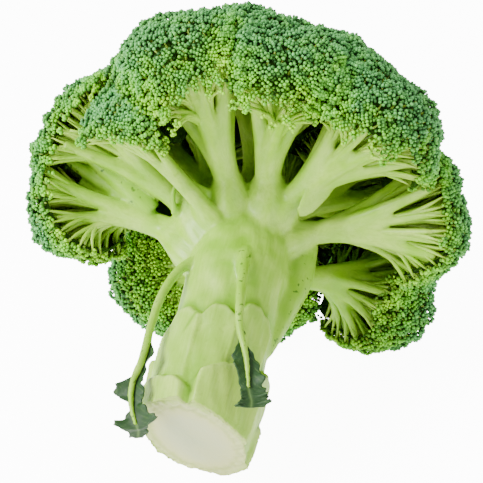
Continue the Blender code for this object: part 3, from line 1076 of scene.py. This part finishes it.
def taper(first, last, stations, root_swell=0.0, reach=0.12):
    """Radii from first to last in a straight line, with root_swell e^(-t/reach) on top."""
    t = np.linspace(0, 1, stations)
    first, last = (np.asarray(r, float)[:, None] for r in (first, last))
    return (first + (last - first) * t) * (1 + root_swell * np.exp(-t / reach))


names = list(HEADS)
roots, bends, fans, axes = (np.array(a) for a in zip(*(branch_points(n) for n in names)))
branch_paths = curve(roots, bends, fans, BRANCH_STATIONS)
thick, thin = (np.array([BRANCHES[n][i] for n in names]) for i in (3, 4))
branch_radii = taper(thick, 0.86 * thin, BRANCH_STATIONS, 0.30, 0.2)
ease = np.clip((np.linspace(0, 1, BRANCH_STATIONS) - 0.55) / 0.45, 0, 1)
branch_radii *= 1 - FORK_THINNING * ease**2 * (3 - 2 * ease)

twigs = []
for number, name in enumerate(names):
    _, ends, shares = all_twigs(name)
    length = np.linalg.norm(ends - fans[number], axis=1)
    starts = np.repeat(branch_paths[number, FORK_STATION][None], len(ends), axis=0)
    twig_bends = fans[number] + 0.13 * length[:, None] * axes[number]
    sizes = shares * HEADS[name][3] / USUAL_HALF_WIDTH
    twigs.append((starts, twig_bends, ends, sizes, np.full(len(ends), number)))
*twig_points, twig_sizes, twig_heads = map(np.concatenate, zip(*twigs))
twig_paths = curve(*twig_points, TWIG_STATIONS)
twig_radii = taper(*(radius * twig_sizes for radius in TWIG_RADII), TWIG_STATIONS)
print(len(twig_paths), "twigs")

# %% [markdown]
# A few more things stay on the stem: the stalks of two small leaves, a bare leaf stalk, a low rib,
# two thick twigs between the branches at the left, and a pale pointed sheath that clasps the right
# branch. The long ones pass through several points, so their paths are smoothed: each coordinate
# is a cubic through the points.

# %% Leaf stalks, rib, twigs and sheath
LEAF_STALKS = {  # points and radii
    "leaf_front": (
        ((3, -12, -8), (5, -18.5, -21), (7, -22, -38))
        + ((9, -23, -50), (13, -23, -61), (16, -22.5, -73)),
        (3.6, 2.2, 1.8, 1.5, 1.2, 0.8),
    ),
    "leaf_left": (
        ((-10, -6, -10), (-18, -12, -21), (-22, -14, -34), (-23, -15, -48))
        + ((-23, -16, -62), (-24, -17, -72), (-23, -16, -80), (-20, -15, -87)),
        (3.0, 1.9, 1.7, 1.6, 1.5, 1.3, 1.1, 0.8),
    ),
}
STRAYS = (
    (((2, -9, 12), (-11, -15, 10), (-20, -20, 11), (-28, -22, 18)), (1.8, 1.6, 1.4, 1.1)),
    (((-24, -20, 14), (-26, -17, 8), (-25, -12, 2)), (1.2, 1.1, 1.4)),
    (((22, 6, 8), (20, 5, -10), (17, 3, -28), (15, 2, -44)), (3.5, 5.8, 4.6, 2.0)),
    (((-36, -4, 8), (-46, -11, 14), (-57, -17, 19), (-70, -24, 24)), (4.6, 3.6, 2.7, 1.3)),
    (((-40, -4, 9), (-52, -9, 14), (-63, -13, 18), (-72, -17, 21)), (3.8, 3.0, 2.2, 1.1)),
)
SHEATH_ENDS = ((20, -15, 3), (34, -27, 22))
SHEATH_HALF_WIDTH = 5.0
SHEATH_HALF_THICKNESS = 1.0


def smooth_path(points, radii, stations):
    """A path through points: cubics whose slope at each point is half the step past it."""
    knots = np.column_stack([points, radii]).astype(float)
    slopes = np.gradient(knots, axis=0)
    t = np.linspace(0, len(knots) - 1, stations)
    i = np.minimum(t.astype(int), len(knots) - 2)
    f = (t - i)[:, None]
    blend = (
        (2 * f**3 - 3 * f**2 + 1) * knots[i]
        + (f**3 - 2 * f**2 + f) * slopes[i]
        + (3 * f**2 - 2 * f**3) * knots[i + 1]
        + (f**3 - f**2) * slopes[i + 1]
    )
    return blend[:, :3], blend[:, 3]


def sheath_sketch():
    """A long flat spindle: a ball stretched between the ends and pressed thin."""
    low, high = np.array(SHEATH_ENDS, float)
    turns = np.linspace(0.04, 0.96, 24) * math.pi, np.arange(24) * math.pi / 12
    v, u = np.meshgrid(*turns, indexing="ij")
    ball = np.stack([np.sin(v) * np.cos(u), np.sin(v) * np.sin(u), -np.cos(v)], axis=-1)
    size = (SHEATH_HALF_WIDTH, SHEATH_HALF_THICKNESS, np.linalg.norm(high - low) / 2)
    points = (ball * size) @ frame_on(unit(high - low)) + (low + high) / 2
    return points.reshape(-1, 3), tube_faces(1, 24, 24)


LONG_STATIONS = 40
long_things = [smooth_path(*thing, LONG_STATIONS) for thing in (*STRAYS, *LEAF_STALKS.values())]
long_paths, long_radii = map(np.array, zip(*long_things))
print(len(long_things), "long thin stalks")

# %% [markdown]
# Now the sketch becomes one skin. The Remesh modifier fills a grid of small cubes with whatever is
# inside any tube and wraps it, and the Smooth modifier relaxes the skin. Both are applied at once,
# because the next steps work on the finished points.

# %% One skin for the stalk
VOXEL = 0.75
SMOOTH_ROUNDS = 7

sketch = join_sketches(
    [
        stem_sketch(),
        tube_sketch(branch_paths, branch_radii, BRANCH_SIDES, uneven),
        tube_sketch(twig_paths, twig_radii, TWIG_SIDES),
        tube_sketch(long_paths, long_radii, LONG_SIDES),
        sheath_sketch(),
    ]
)
draft = piece("stalk_sketch", *sketch)
remesh = draft.modifiers.new("skin", "REMESH")
remesh.mode = "VOXEL"
remesh.voxel_size = VOXEL * MM
relax = draft.modifiers.new("webs", "SMOOTH")
relax.factor = 0.5
relax.iterations = SMOOTH_ROUNDS


def applied(thing):
    """The mesh of an object after its modifiers; the object itself is removed."""
    graph = bpy.context.evaluated_depsgraph_get()
    mesh = bpy.data.meshes.new_from_object(thing.evaluated_get(graph))
    bpy.data.objects.remove(thing)
    return mesh


def plant_points(mesh):
    """The points of a mesh in the plant's frame."""
    places = np.empty(3 * len(mesh.vertices), np.float32)
    mesh.vertices.foreach_get("co", places)
    return stand(places.reshape(-1, 3).astype(float))


skin = applied(draft)
places = plant_points(skin)
print("stalk skin:", len(skin.vertices), "points")

# %% [markdown]
# Each point of the skin looks up the tube that it lies on, by the smallest distance to a centre
# line less the radius there. That says how far out along the plant it is, and gives the fibres
# of the flesh a direction to follow.

# %% Which branch each point lies on
BLOCK = 4000


def nearest_tube(points, centres, radii):
    """Index of the centre with the smallest distance minus radius, worked out in blocks."""
    blocks = np.array_split(points, max(1, len(points) // BLOCK))
    return np.concatenate([(gaps(block, centres) - radii).argmin(axis=1) for block in blocks])


stem_heights = np.arange(-88.0, 12.0, 2.0)
stem_radii = np.interp(stem_heights, STEM_LEVELS, STEM_RADII)
tube_sets = [  # paths, radii, and how far out on the plant they begin and end
    (stem_path(stem_heights)[None], stem_radii[None], 0.0, 0.15),
    (branch_paths, branch_radii, 0.15, 0.55),
    (twig_paths, twig_radii, 0.5, 1.0),
    (long_paths, long_radii, 0.35, 0.6),
]
looked_up = []
for number, (paths, radii, begin, end) in enumerate(tube_sets):
    along = unit(np.gradient(paths, axis=1)).reshape(-1, 3)
    outness = np.broadcast_to(np.linspace(begin, end, paths.shape[1]), radii.shape).ravel()
    which_set = np.full(radii.size, number)
    looked_up.append((paths.reshape(-1, 3), radii.ravel(), along, outness, which_set))
centres, centre_radii, along, outness, kind = map(np.concatenate, zip(*looked_up))
nearest = nearest_tube(places, centres, centre_radii)
print("points on stem, branches, twigs and thin stalks:", np.bincount(kind[nearest]))

# %% [markdown]
# The grid of cubes is as fine on the twigs as on the stem, which is wasteful: a twig is only a few
# millimetres thick and has no relief. A Decimate modifier joins faces there, and a vertex group
# keeps it off the stem.

# %% Fewer faces on the twigs
KEEP = 0.40
draft = put("stalk_skin", skin)
group = draft.vertex_groups.new(name="may_thin")
group.add(np.flatnonzero(kind[nearest] > 0).tolist(), 1.0, "REPLACE")
thin_out = draft.modifiers.new("thin_out", "DECIMATE")
thin_out.ratio = KEEP
thin_out.vertex_group = "may_thin"
skin = applied(draft)
skin.name = "stalk_flesh"
places = plant_points(skin)
nearest = nearest_tube(places, centres, centre_radii)
print("points left:", len(places), "triangles:", len(skin.polygons))

# %% [markdown]
# The stem's own points are pushed out by the scars, and whatever reaches past the knife's plane is
# put back on it, so the cut is flat with a crisp rim. What would dip below the table is put on it.

# %% Scars, the cut and the flat spot
CUT_CENTRE = np.array([-3.4, 0, 0])
CUT_RADIUS = 19.0

on_stem = kind[nearest] == 0
from_axis = places - stem_path(places[:, 2])
azimuth = np.degrees(np.arctan2(from_axis[:, 0], -places[:, 1]))
relief, groove, lip = (on_stem * v for v in scar_relief(azimuth, places[:, 2]))
other_centres, other_radii = centres[kind > 0], centre_radii[kind > 0]
elsewhere = nearest_tube(places, other_centres, other_radii)
to_other = np.linalg.norm(places - other_centres[elsewhere], axis=1) - other_radii[elsewhere]
clear = np.clip(to_other / 2.5, 0, 1)
clear = clear * np.clip((np.hypot(from_axis[:, 0], places[:, 1]) - 9) / 5, 0, 1)
relief, groove, lip = relief * clear, groove * clear, lip * clear
outer = unit(places - centres[nearest])
places = places + unit(places * (1, 1, 0)) * relief[:, None]
above_cut = np.clip((places @ CUT_PLANE - CUT_LEVEL) / 2 - 1, 0, 1)
uneven_by = np.where(kind[nearest] < 2, 0.35, 0.0) * gentle_waves(places, 2.6) * above_cut
places = places + outer * uneven_by[:, None]

past = CUT_LEVEL - places @ CUT_PLANE
on_cut = on_stem & (past > -0.05)
from_middle = np.linalg.norm((places - CUT_CENTRE) * (1, 1, 0), axis=1)
knife = 0.5 * np.clip(from_middle / 18 - 0.72, 0, 0.2) / 0.2 * gentle_waves(places, 0.8)
places[:, 2] += np.where(on_cut, np.clip(past, 0, None) + knife, 0)
places = stand(on_table(places))
print(int(on_cut.sum()), "points on the cut face")

# %% [markdown]
# The values that the stalk's material reads: how far out a place is, where the cut is and how near
# its rim, how high the scars stand (for their paler face, partly a painted highlight), where the
# painted shade above a scar's edge and the painted highlight below it lie, how specked the skin is,
# and a place that changes slowly along the fibres.

# %% Values on the stalk
line = along[nearest]
skin.vertices.foreach_set("co", lay(places).astype(np.float32).ravel())
values = {
    "green": outness[nearest],
    "cut": on_cut.astype(float),
    "rim": np.clip(from_middle / CUT_RADIUS, 0, 1.2),
    # how high a pad stands, read as a paler face: partly scar tissue, partly painted highlight
    "scar": np.clip(relief / 3.0, 0, 1),
    # painted shade above and painted highlight below each scar's edge
    "groove": groove,
    "lip": lip,
    "speck": np.where(kind[nearest] == 3, 0.9, 0.12),
    "grain": places - line * (places * line).sum(1, keepdims=True) * 0.9,
}
give_values(skin, values)
skin.shade_smooth()
skin.materials.append(STALK_GREEN)
keep(put("stalk_flesh", skin), "stalk_green", "stalk")
print("stalk corners:", len(skin.loops))

# %% [markdown]
# From the end of each twig the head keeps dividing: about thirty stalklets reach out to the bud
# layer, and each of them splits into a few finer ones, one for every bunch of buds. Each new stalk
# starts from the nearest one of the size before and leaves it in nearly the same direction, which
# gives the sweeping fans under the crown.

# %% Fans of fine stalks
CLUMP_SPACING = 5.0
STALKLET_SPACING = 9.0
STALKLET_RADII = (1.9, 1.1)
PEDICEL_RADII = (0.95, 0.6)
STALKLET_SINK = 5.5
PEDICEL_SINK = 1.3
STALKLET_FADE = 9
PEDICEL_FADE = 15
LONGEST_FADE = 1.2


def branch_off(parents, directions, ends, part, sway):
    """Curves from a place part of the way along the best parent to the given ends.

    The best parent is the one whose end lies closest in direction; the bend lies ahead of the
    start, along the parent, by sway times the distance to go.
    """
    parent_directions, parent_paths = parents
    best = (directions @ parent_directions.T).argmax(axis=1)
    station = int(part * (parent_paths.shape[1] - 1))
    starts = parent_paths[best, station]
    heading = unit(parent_paths[best, station] - parent_paths[best, station - 2])
    length = np.linalg.norm(ends - starts, axis=1, keepdims=True)
    return starts, starts + sway * length * heading, ends


def even_taper(radii, paths):
    """The same straight taper for every path."""
    taper_to = np.linspace(*radii, paths.shape[1])
    taper_to[-1] *= 0.4
    return np.ones((len(paths), 1)) * taper_to


def thinned(name, directions, fade):
    """Past the bud line a direction is kept with the chance e^(-past/fade), and none far past."""
    past = off_axis(name, directions) - bud_line(name, directions)
    rng = np.random.default_rng(seed_of(name) + 5)
    lucky = rng.uniform(size=len(directions)) < np.exp(-past / fade)
    return directions[lucky & (past < LONGEST_FADE * fade) & ~between_heads(name, directions)]


def fan(name, number):
    """Stalklets and pedicels of one head, and the directions of its clumps."""
    edge = bud_edge(name)
    twig_directions, _, _ = all_twigs(name)
    twigs = twig_directions, twig_paths[twig_heads == number]
    towards = thinned(name, spread(name, STALKLET_SPACING, edge - 6, 11), STALKLET_FADE)
    ends = on_head(name, towards, STALKLET_SINK)
    stalklets = curve(*branch_off(twigs, towards, ends, 0.5, 0.4), 9)
    sites = spread(name, CLUMP_SPACING, edge - 2, 12)
    clump_directions = thinned(name, sites, PEDICEL_FADE)
    ends = on_head(name, clump_directions, PEDICEL_SINK)
    pedicels = curve(*branch_off((towards, stalklets), clump_directions, ends, 0.55, 0.4), 5)
    sketches = [
        tube_sketch(stalklets, even_taper(STALKLET_RADII, stalklets), 7),
        tube_sketch(pedicels, even_taper(PEDICEL_RADII, pedicels), 5),
    ]
    return join_sketches(sketches), clump_directions


heads = {name: fan(name, number) for number, name in enumerate(names)}
print(sum(len(c) for _, c in heads.values()), "clumps on all heads")

# %% [markdown]
# A bud is a little egg, wider near its foot and drawn in at its tip. Five sides and three rings are
# enough at a millimetre and a half, and keep each one to a few dozen triangles. Thousands of
# buds are one multiplication: the template's points times each bud's three axes and size.

# %% Buds
BUD_SPACING = 1.35
BUD_RINGS = ((-0.75, 0.55), (0.05, 1.0), (0.7, 0.66))  # height and radius, for a bud of radius 1
BUD_TIP = 1.02
BUD_SIDES = 5
BUD_STRETCH = 1.25
CLUMP_RADIUS = 2.9
CLUMP_DOME = 2.5
CLUMP_FULLNESS = 2.6
BUD_TILT = 0.75
SEAM_SPACING = 4.4
SEAM_BUDS = 21
SEAM_HALF_WIDTH = 1.6
SEAM_SITES = 7000
SEAM_CLEAR = 0.925  # share of the dome that the walls have to leave
SEAM_SINK = 1.9
BUD_SINK = 2.7
HEIGHT_SCATTER = 0.3
TILT_SCATTER = 0.16


def dome_height(share):
    """Height over a clump's foot: dome (1 - share^fullness), where share is d / radius."""
    return CLUMP_DOME * (1 - np.minimum(share, 1.2) ** CLUMP_FULLNESS)


def bud_template():
    """Three rings and a tip, with faces between the rings, a fan at the tip and a closed foot."""
    turn = 2 * math.pi * np.arange(BUD_SIDES) / BUD_SIDES
    circle = np.stack([np.cos(turn), np.sin(turn), 0 * turn], axis=1)
    points = np.concatenate([*(r * circle + (0, 0, z) for z, r in BUD_RINGS), [[0, 0, BUD_TIP]]])
    n = BUD_SIDES
    here = np.arange(n)
    there = (here + 1) % n
    quads = [np.stack([a + here, a + there, a + n + there, a + n + here], axis=1) for a in (0, n)]
    tip = np.stack([2 * n + here, 2 * n + there, np.full(n, 3 * n)], axis=1)
    return points, np.concatenate(quads), tip, here[None, ::-1]


def place_buds(centres, outwards, sizes, rng):
    """All buds at once: centre + size (x side + y other + stretch z outward), turned by chance."""
    template, *faces = bud_template()
    spin = rng.uniform(0, 2 * math.pi, len(centres))[:, None]
    first, second = sides_of(outwards)
    side = np.cos(spin) * first + np.sin(spin) * second
    other = np.cross(outwards, side)
    bud_axes = np.stack([side, other, BUD_STRETCH * outwards], axis=1) * sizes[:, None, None]
    points = centres[:, None, :] + np.einsum("pk,nkc->npc", template, bud_axes)
    shift = (np.arange(len(centres)) * len(template))[:, None, None]
    faces = [(f[None] + shift).reshape(-1, f.shape[1]) for f in faces]
    return points.reshape(-1, 3), faces, template[:, 2]


def set_apart(points, spacing, rng):
    """Marks points no two of which are nearer than spacing.

    In each round the points that come first by lot among their neighbours stay, and the
    neighbours of those go.
    """
    lot = rng.permutation(len(points)).astype(float)
    near = np.linalg.norm(points[:, None] - points[None], axis=2) < spacing
    stays, free = np.zeros(len(points), bool), np.ones(len(points), bool)
    for _ in range(8):
        first = free & (lot <= np.where(near & free, lot, np.inf).min(axis=1, initial=np.inf))
        stays |= first
        free &= ~near[:, first].any(axis=1)
    return stays


def seam_bunches(name, rng):
    """Buds of the bunches that bulge over a head's seams, as for bud_sites.

    A bunch is a disc in sunflower order, radius x sqrt(share), on the same dome as a clump.
    """
    directions = sunflower(SEAM_SITES) @ frame_on(axis_of(name))
    whole = head_reach(name, directions, whole=True)
    clear = head_reach(name, directions) > SEAM_CLEAR * whole
    clear &= off_axis(name, directions) < bud_line(name, directions) - 3
    beside = np.zeros(len(directions), bool)
    way_out = np.zeros_like(directions)
    for other, way, length, wall in walls(name):
        if length < SEAM_REACH and other > name:
            near = np.abs(wall - whole * (directions @ way)) < SEAM_HALF_WIDTH
            beside |= near
            way_out[near] = unit(directions - (directions @ way)[:, None] * way)[near]
    directions, way_out = directions[beside & clear], way_out[beside & clear]
    middles = on_head(name, directions)
    stays = set_apart(middles, SEAM_SPACING, rng)
    middles, way_out, directions = middles[stays], way_out[stays], directions[stays]
    middles = middles + rng.normal(0, 0.6, middles.shape)
    middles = middles + way_out * rng.uniform(-0.6, 0.8, len(middles))[:, None]
    past = np.repeat(off_axis(name, directions) - ripe_line(name, directions), SEAM_BUDS)
    share = np.sqrt((np.arange(SEAM_BUDS) + 0.5) / SEAM_BUDS)
    turn = (GOLDEN_TURN * np.arange(SEAM_BUDS))[:, None]
    first, second = (side[:, None] for side in sides_of(way_out))
    lean = (np.cos(turn) * first + np.sin(turn) * second) * share[:, None]
    luck_up = rng.uniform(-HEIGHT_SCATTER, HEIGHT_SCATTER, (len(middles), SEAM_BUDS))
    height = dome_height(share) - SEAM_SINK + luck_up
    centres = middles[:, None] + CLUMP_RADIUS * 1.15 * lean + way_out[:, None] * height[..., None]
    tilt = BUD_TILT * lean + rng.normal(0, TILT_SCATTER, lean.shape)
    luck = np.repeat(rng.normal(0, 1, len(middles)), SEAM_BUDS)
    outwards = unit(way_out[:, None] + tilt).reshape(-1, 3)
    return centres.reshape(-1, 3), outwards, np.tile(share, len(middles)), luck, past


def bud_sites(name, clump_directions, rng):
    """Centres, directions, share of the clump's radius, clump's luck and angle past the ripe line.

    A bud stands at its dome height over the nearest clump and leans away from the clump's
    middle by tilt d / radius. Past the bud line only the middles of the clumps carry buds.
    """
    directions = spread(name, BUD_SPACING, bud_edge(name), 21, rounds=3)
    points = on_head(name, directions)
    clumps = on_head(name, clump_directions)
    gap = gaps(points, clumps)
    which = gap.argmin(axis=1)
    share = gap.min(axis=1) / CLUMP_RADIUS
    past = off_axis(name, directions) - bud_line(name, directions)
    reach = np.where(past < 0, 1.3, 0.25 + 0.6 * np.exp(-np.maximum(past, 0) / 16))
    reach = reach + rng.uniform(-0.14, 0.14, len(share))
    kept = (share < reach) & ~between_heads(name, directions)
    directions, points, which, share = (a[kept] for a in (directions, points, which, share))
    normals = outward(name, directions)
    lean = (points - clumps[which]) / CLUMP_RADIUS
    luck = rng.normal(0, 1, len(clumps))[which]
    height = dome_height(share) + 0.5 * np.clip(luck, -1.5, 1.5) - BUD_SINK
    height = height + rng.uniform(-HEIGHT_SCATTER, HEIGHT_SCATTER, len(share))
    centres = points + normals * height[:, None]
    tilt = BUD_TILT * lean + rng.normal(0, TILT_SCATTER, points.shape)
    past = off_axis(name, directions) - ripe_line(name, directions)
    return centres, unit(normals + tilt), np.clip(share, 0, 1.3), luck, past


def buds_of(name, clump_directions):
    """The bud layer of one head as one mesh, with values for its material."""
    rng = np.random.default_rng(seed_of(name) + 31)
    found = zip(bud_sites(name, clump_directions, rng), seam_bunches(name, rng))
    centres, outwards, share, clump_luck, past = map(np.concatenate, found)
    sizes = 0.5 * BUD_SPACING * rng.uniform(0.82, 1.26, len(centres))
    points, faces, level = place_buds(centres, outwards, sizes, rng)
    per_bud = len(level)
    ripe = np.clip(0.22 - past / 60 + 0.10 * clump_luck, 0, 1)
    values = {
        "ripe": np.repeat(ripe, per_bud),
        # painted shade in the creases between bunches
        "crevice": np.repeat(share, per_bud),
        "luck": np.repeat(rng.uniform(size=len(centres)), per_bud),
        # height on the bud, for the painted light and shade
        "level": np.tile((level + 0.75) / 1.77, len(centres)),
    }
    return points, faces, values


bud_count = 0
for name, (_, clump_directions) in heads.items():
    points, faces, values = buds_of(name, clump_directions)
    keep(piece("buds_" + name[5:], points, faces, values, BUD_GREEN), "bud_green", name)
    bud_count += len(points) // (3 * BUD_SIDES + 1)
print(bud_count, "buds")

# %% [markdown]
# Between the buds one looks down to where their stalks join. A thin closed shell a few millimetres
# under the surface stands for that tangle, and its dark finish is painted shade. Its underside
# hangs down in a cone under every clump, where the pedicel comes in, and beside a wall the shell
# rises, so that no light comes through between two heads.

# %% Shell under the buds
SHELL_ROWS = 20
SHELL_COLUMNS = 64
SHELL_DEPTH = 4.2
SHELL_RISE = 3.6


def shell(name, clump_directions):
    """Rows from the pole out to the edge at one depth, and back to the pole at another."""
    frame_rows = frame_on(axis_of(name))
    out = np.linspace(0.02, 1, SHELL_ROWS)
    out = np.concatenate([out, out[::-1] * 0.995])
    turn = 360 * np.arange(SHELL_COLUMNS) / SHELL_COLUMNS
    some = polar(turn, 60 + 0 * turn) @ frame_rows
    openness = some @ open_way(name) / math.sin(math.radians(60))
    edge = bud_line(name, some) + 6 - 11 * np.clip(1.5 * openness, 0, 1)
    rows, columns = out[:, None] * edge, np.broadcast_to(turn, (len(out), len(turn)))
    directions = polar(columns.ravel(), rows.ravel()) @ frame_rows
    gap = gaps(on_head(name, directions), on_head(name, clump_directions)).min(axis=1)
    share = np.clip(gap / CLUMP_RADIUS, 0, 1)
    inside = np.repeat(np.arange(2 * SHELL_ROWS) >= SHELL_ROWS, SHELL_COLUMNS)
    rim = 1 - (rows / edge).ravel() ** 6
    cut_away = head_reach(name, directions, whole=True) / head_reach(name, directions)
    sunk = SHELL_DEPTH - SHELL_RISE * np.clip((cut_away - 1.0) / 0.05, 0, 1)
    depth = np.where(inside, sunk + 0.2 + rim * (0.6 + 2.0 * (1 - share**2)), sunk)
    faces = [f[:, ::-1] for f in tube_faces(1, 2 * SHELL_ROWS, SHELL_COLUMNS)]
    return on_head(name, directions, depth), faces, {"crevice": np.where(inside, 0.55 * share, 1.0)}


for name, (sketch, clump_directions) in heads.items():
    keep(piece("shell_" + name[5:], *shell(name, clump_directions), TANGLE_SHADE), "bud_green")
    values = {key: np.zeros(len(sketch[0])) for key in ON_STALK}
    values.update(green=values["green"] + 0.9, grain=sketch[0])
    keep(piece("fan_" + name[5:], *sketch, values, STALK_GREEN), "stalk_green")
print("shells and fans for", len(heads), "heads")

# %% [markdown]
# Two small leaves hang from the stem, dark and torn, with toothed edges that curl. A blade is a
# surface over two numbers: how far along the rib, and how far across it. Its half width on each
# side is read from a list that was measured along the real one, with teeth added, and it dips
# and rises in waves that grow towards the edge. A Solidify modifier gives it its thickness.

# %% Leaf blades
BLADE_THICKNESS = 0.45
BLADE_STATIONS = 100
BLADE_COLUMNS = 19
# first point of the rib used, way to the front, points past the rib, half widths left and right
BLADES = {
    "leaf_front": (
        2,
        12,
        ((17.5, -22.3, -77), (18.0, -22.8, -80)),
        (0.4, 0.3, 0.6, 0.3, 1.5, 4.2, 3.8, 2.6, 2.6, 2.8, 3.0, 3.4, 5.0, 3.5),
        (0.5, 1.0, 0.5, 1.6, 0.8, 2.5, 4.0, 4.6, 5.0, 5.2, 5.0, 5.4, 6.0, 4.0),
    ),
    "leaf_left": (
        3,
        -20,
        ((-20.0, -11.5, -86.5), (-20.5, -7.5, -87)),
        (0.3, 0.3, 0.6, 0.4, 0.8, 5.4, 6.2, 1.2, 0.9, 5.6, 6.6, 4.4, 1.2, 3.0, 3.4, 1.0),
        (0.4, 0.8, 3.4, 1.6, 2.6, 3.2, 4.8, 3.6, 4.6, 7.2, 8.8, 4.8, 2.0, 3.4, 4.0, 1.5),
    ),
}


def blade(name):
    """Rib(u) + side(v) x half width x teeth, lifted by ruffle x v^2, set just behind the rib."""
    first, facing, past_rib, left, right = BLADES[name]
    points, radii = LEAF_STALKS[name]
    knots = [*points[first:], *past_rib]
    path, thick = smooth_path(knots, [*radii[first:], 0.5, 0.4], BLADE_STATIONS)
    u = np.linspace(0, 1, len(path))
    v = np.linspace(-1, 1, BLADE_COLUMNS)
    tooth = 1 + 0.13 * np.abs((u * 26) % 2 - 1) + 0.06 * np.sin(61 * u) + 0.05 * np.sin(113 * u + 2)
    halves = [np.interp(u, np.linspace(0, 1, len(w)), w) * tooth for w in (left, right)]
    front = polar(facing, 90)
    side = np.broadcast_to(unit(np.cross(front, path[60] - path[13])), path.shape)
    half = np.where(v < 0, halves[0][:, None], halves[1][:, None])
    across = half * v
    ruffle = 0.9 * np.sin(34 * u[:, None] + 2.2 * np.sign(v)) + 0.5 * np.sin(71 * u[:, None] + 1.0)
    lift = ruffle * v**2 * np.minimum(half / 4, 1) + 0.05 * across**2 - 0.6 * thick[:, None] - 0.25
    points = path[:, None] + side[:, None] * across[..., None] + front * lift[..., None]
    slant = u[:, None] * 60 - np.abs(across) * 1.1
    vein = np.exp(-((((slant / 3.0) % 1) - 0.5) ** 2) / 0.006) * np.abs(v)
    values = {
        "vein": np.maximum(0.7 * vein, np.exp(-((across / 0.5) ** 2))),
        "edge": np.broadcast_to(np.abs(v), across.shape),
    }
    here = np.arange(len(u) - 1)[:, None] * len(v) + np.arange(len(v) - 1)
    quads = np.stack([here, here + 1, here + len(v) + 1, here + len(v)], axis=-1).reshape(-1, 4)
    return points.reshape(-1, 3), [quads], {key: value.ravel() for key, value in values.items()}


for name in BLADES:
    thing = piece("blade_" + name[5:], *blade(name), LEAF_GREEN)
    solid = thing.modifiers.new("thickness", "SOLIDIFY")
    solid.thickness = BLADE_THICKNESS * MM
    solid.offset = 0
    keep(thing, "leaf_green", name)
print(len(BLADES), "blades")

# %% [markdown]
# The floor is a plain pale table top. It is marked as stage, so it isn't part of the object.

# %% Floor
FLOOR_HALF = 4
FLOOR_LEVEL = -0.0002
corners = [(FLOOR_HALF * x, FLOOR_HALF * y, 0) for x, y in ((-1, -1), (1, -1), (1, 1), (-1, 1))]
floor_mesh = bpy.data.meshes.new("floor")
floor_mesh.from_pydata(corners, [], [(0, 1, 2, 3)])
floor_mesh.materials.append(PALE_TABLE)
floor = put("floor", floor_mesh)
floor.location.z = FLOOR_LEVEL
floor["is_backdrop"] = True
print("floor at", floor.location.z)

# %% [markdown]
# The box of the visual model is measured, beside that of the imported one. The visual
# model has to stay as large as the imported one.

# %% Sizes, and the end
low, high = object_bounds()
sizes = {"cad": [list(cad_low), list(cad_high)], "visual": [list(low), list(high)]}
print("visual model:", box_sides(low, high), "mm")
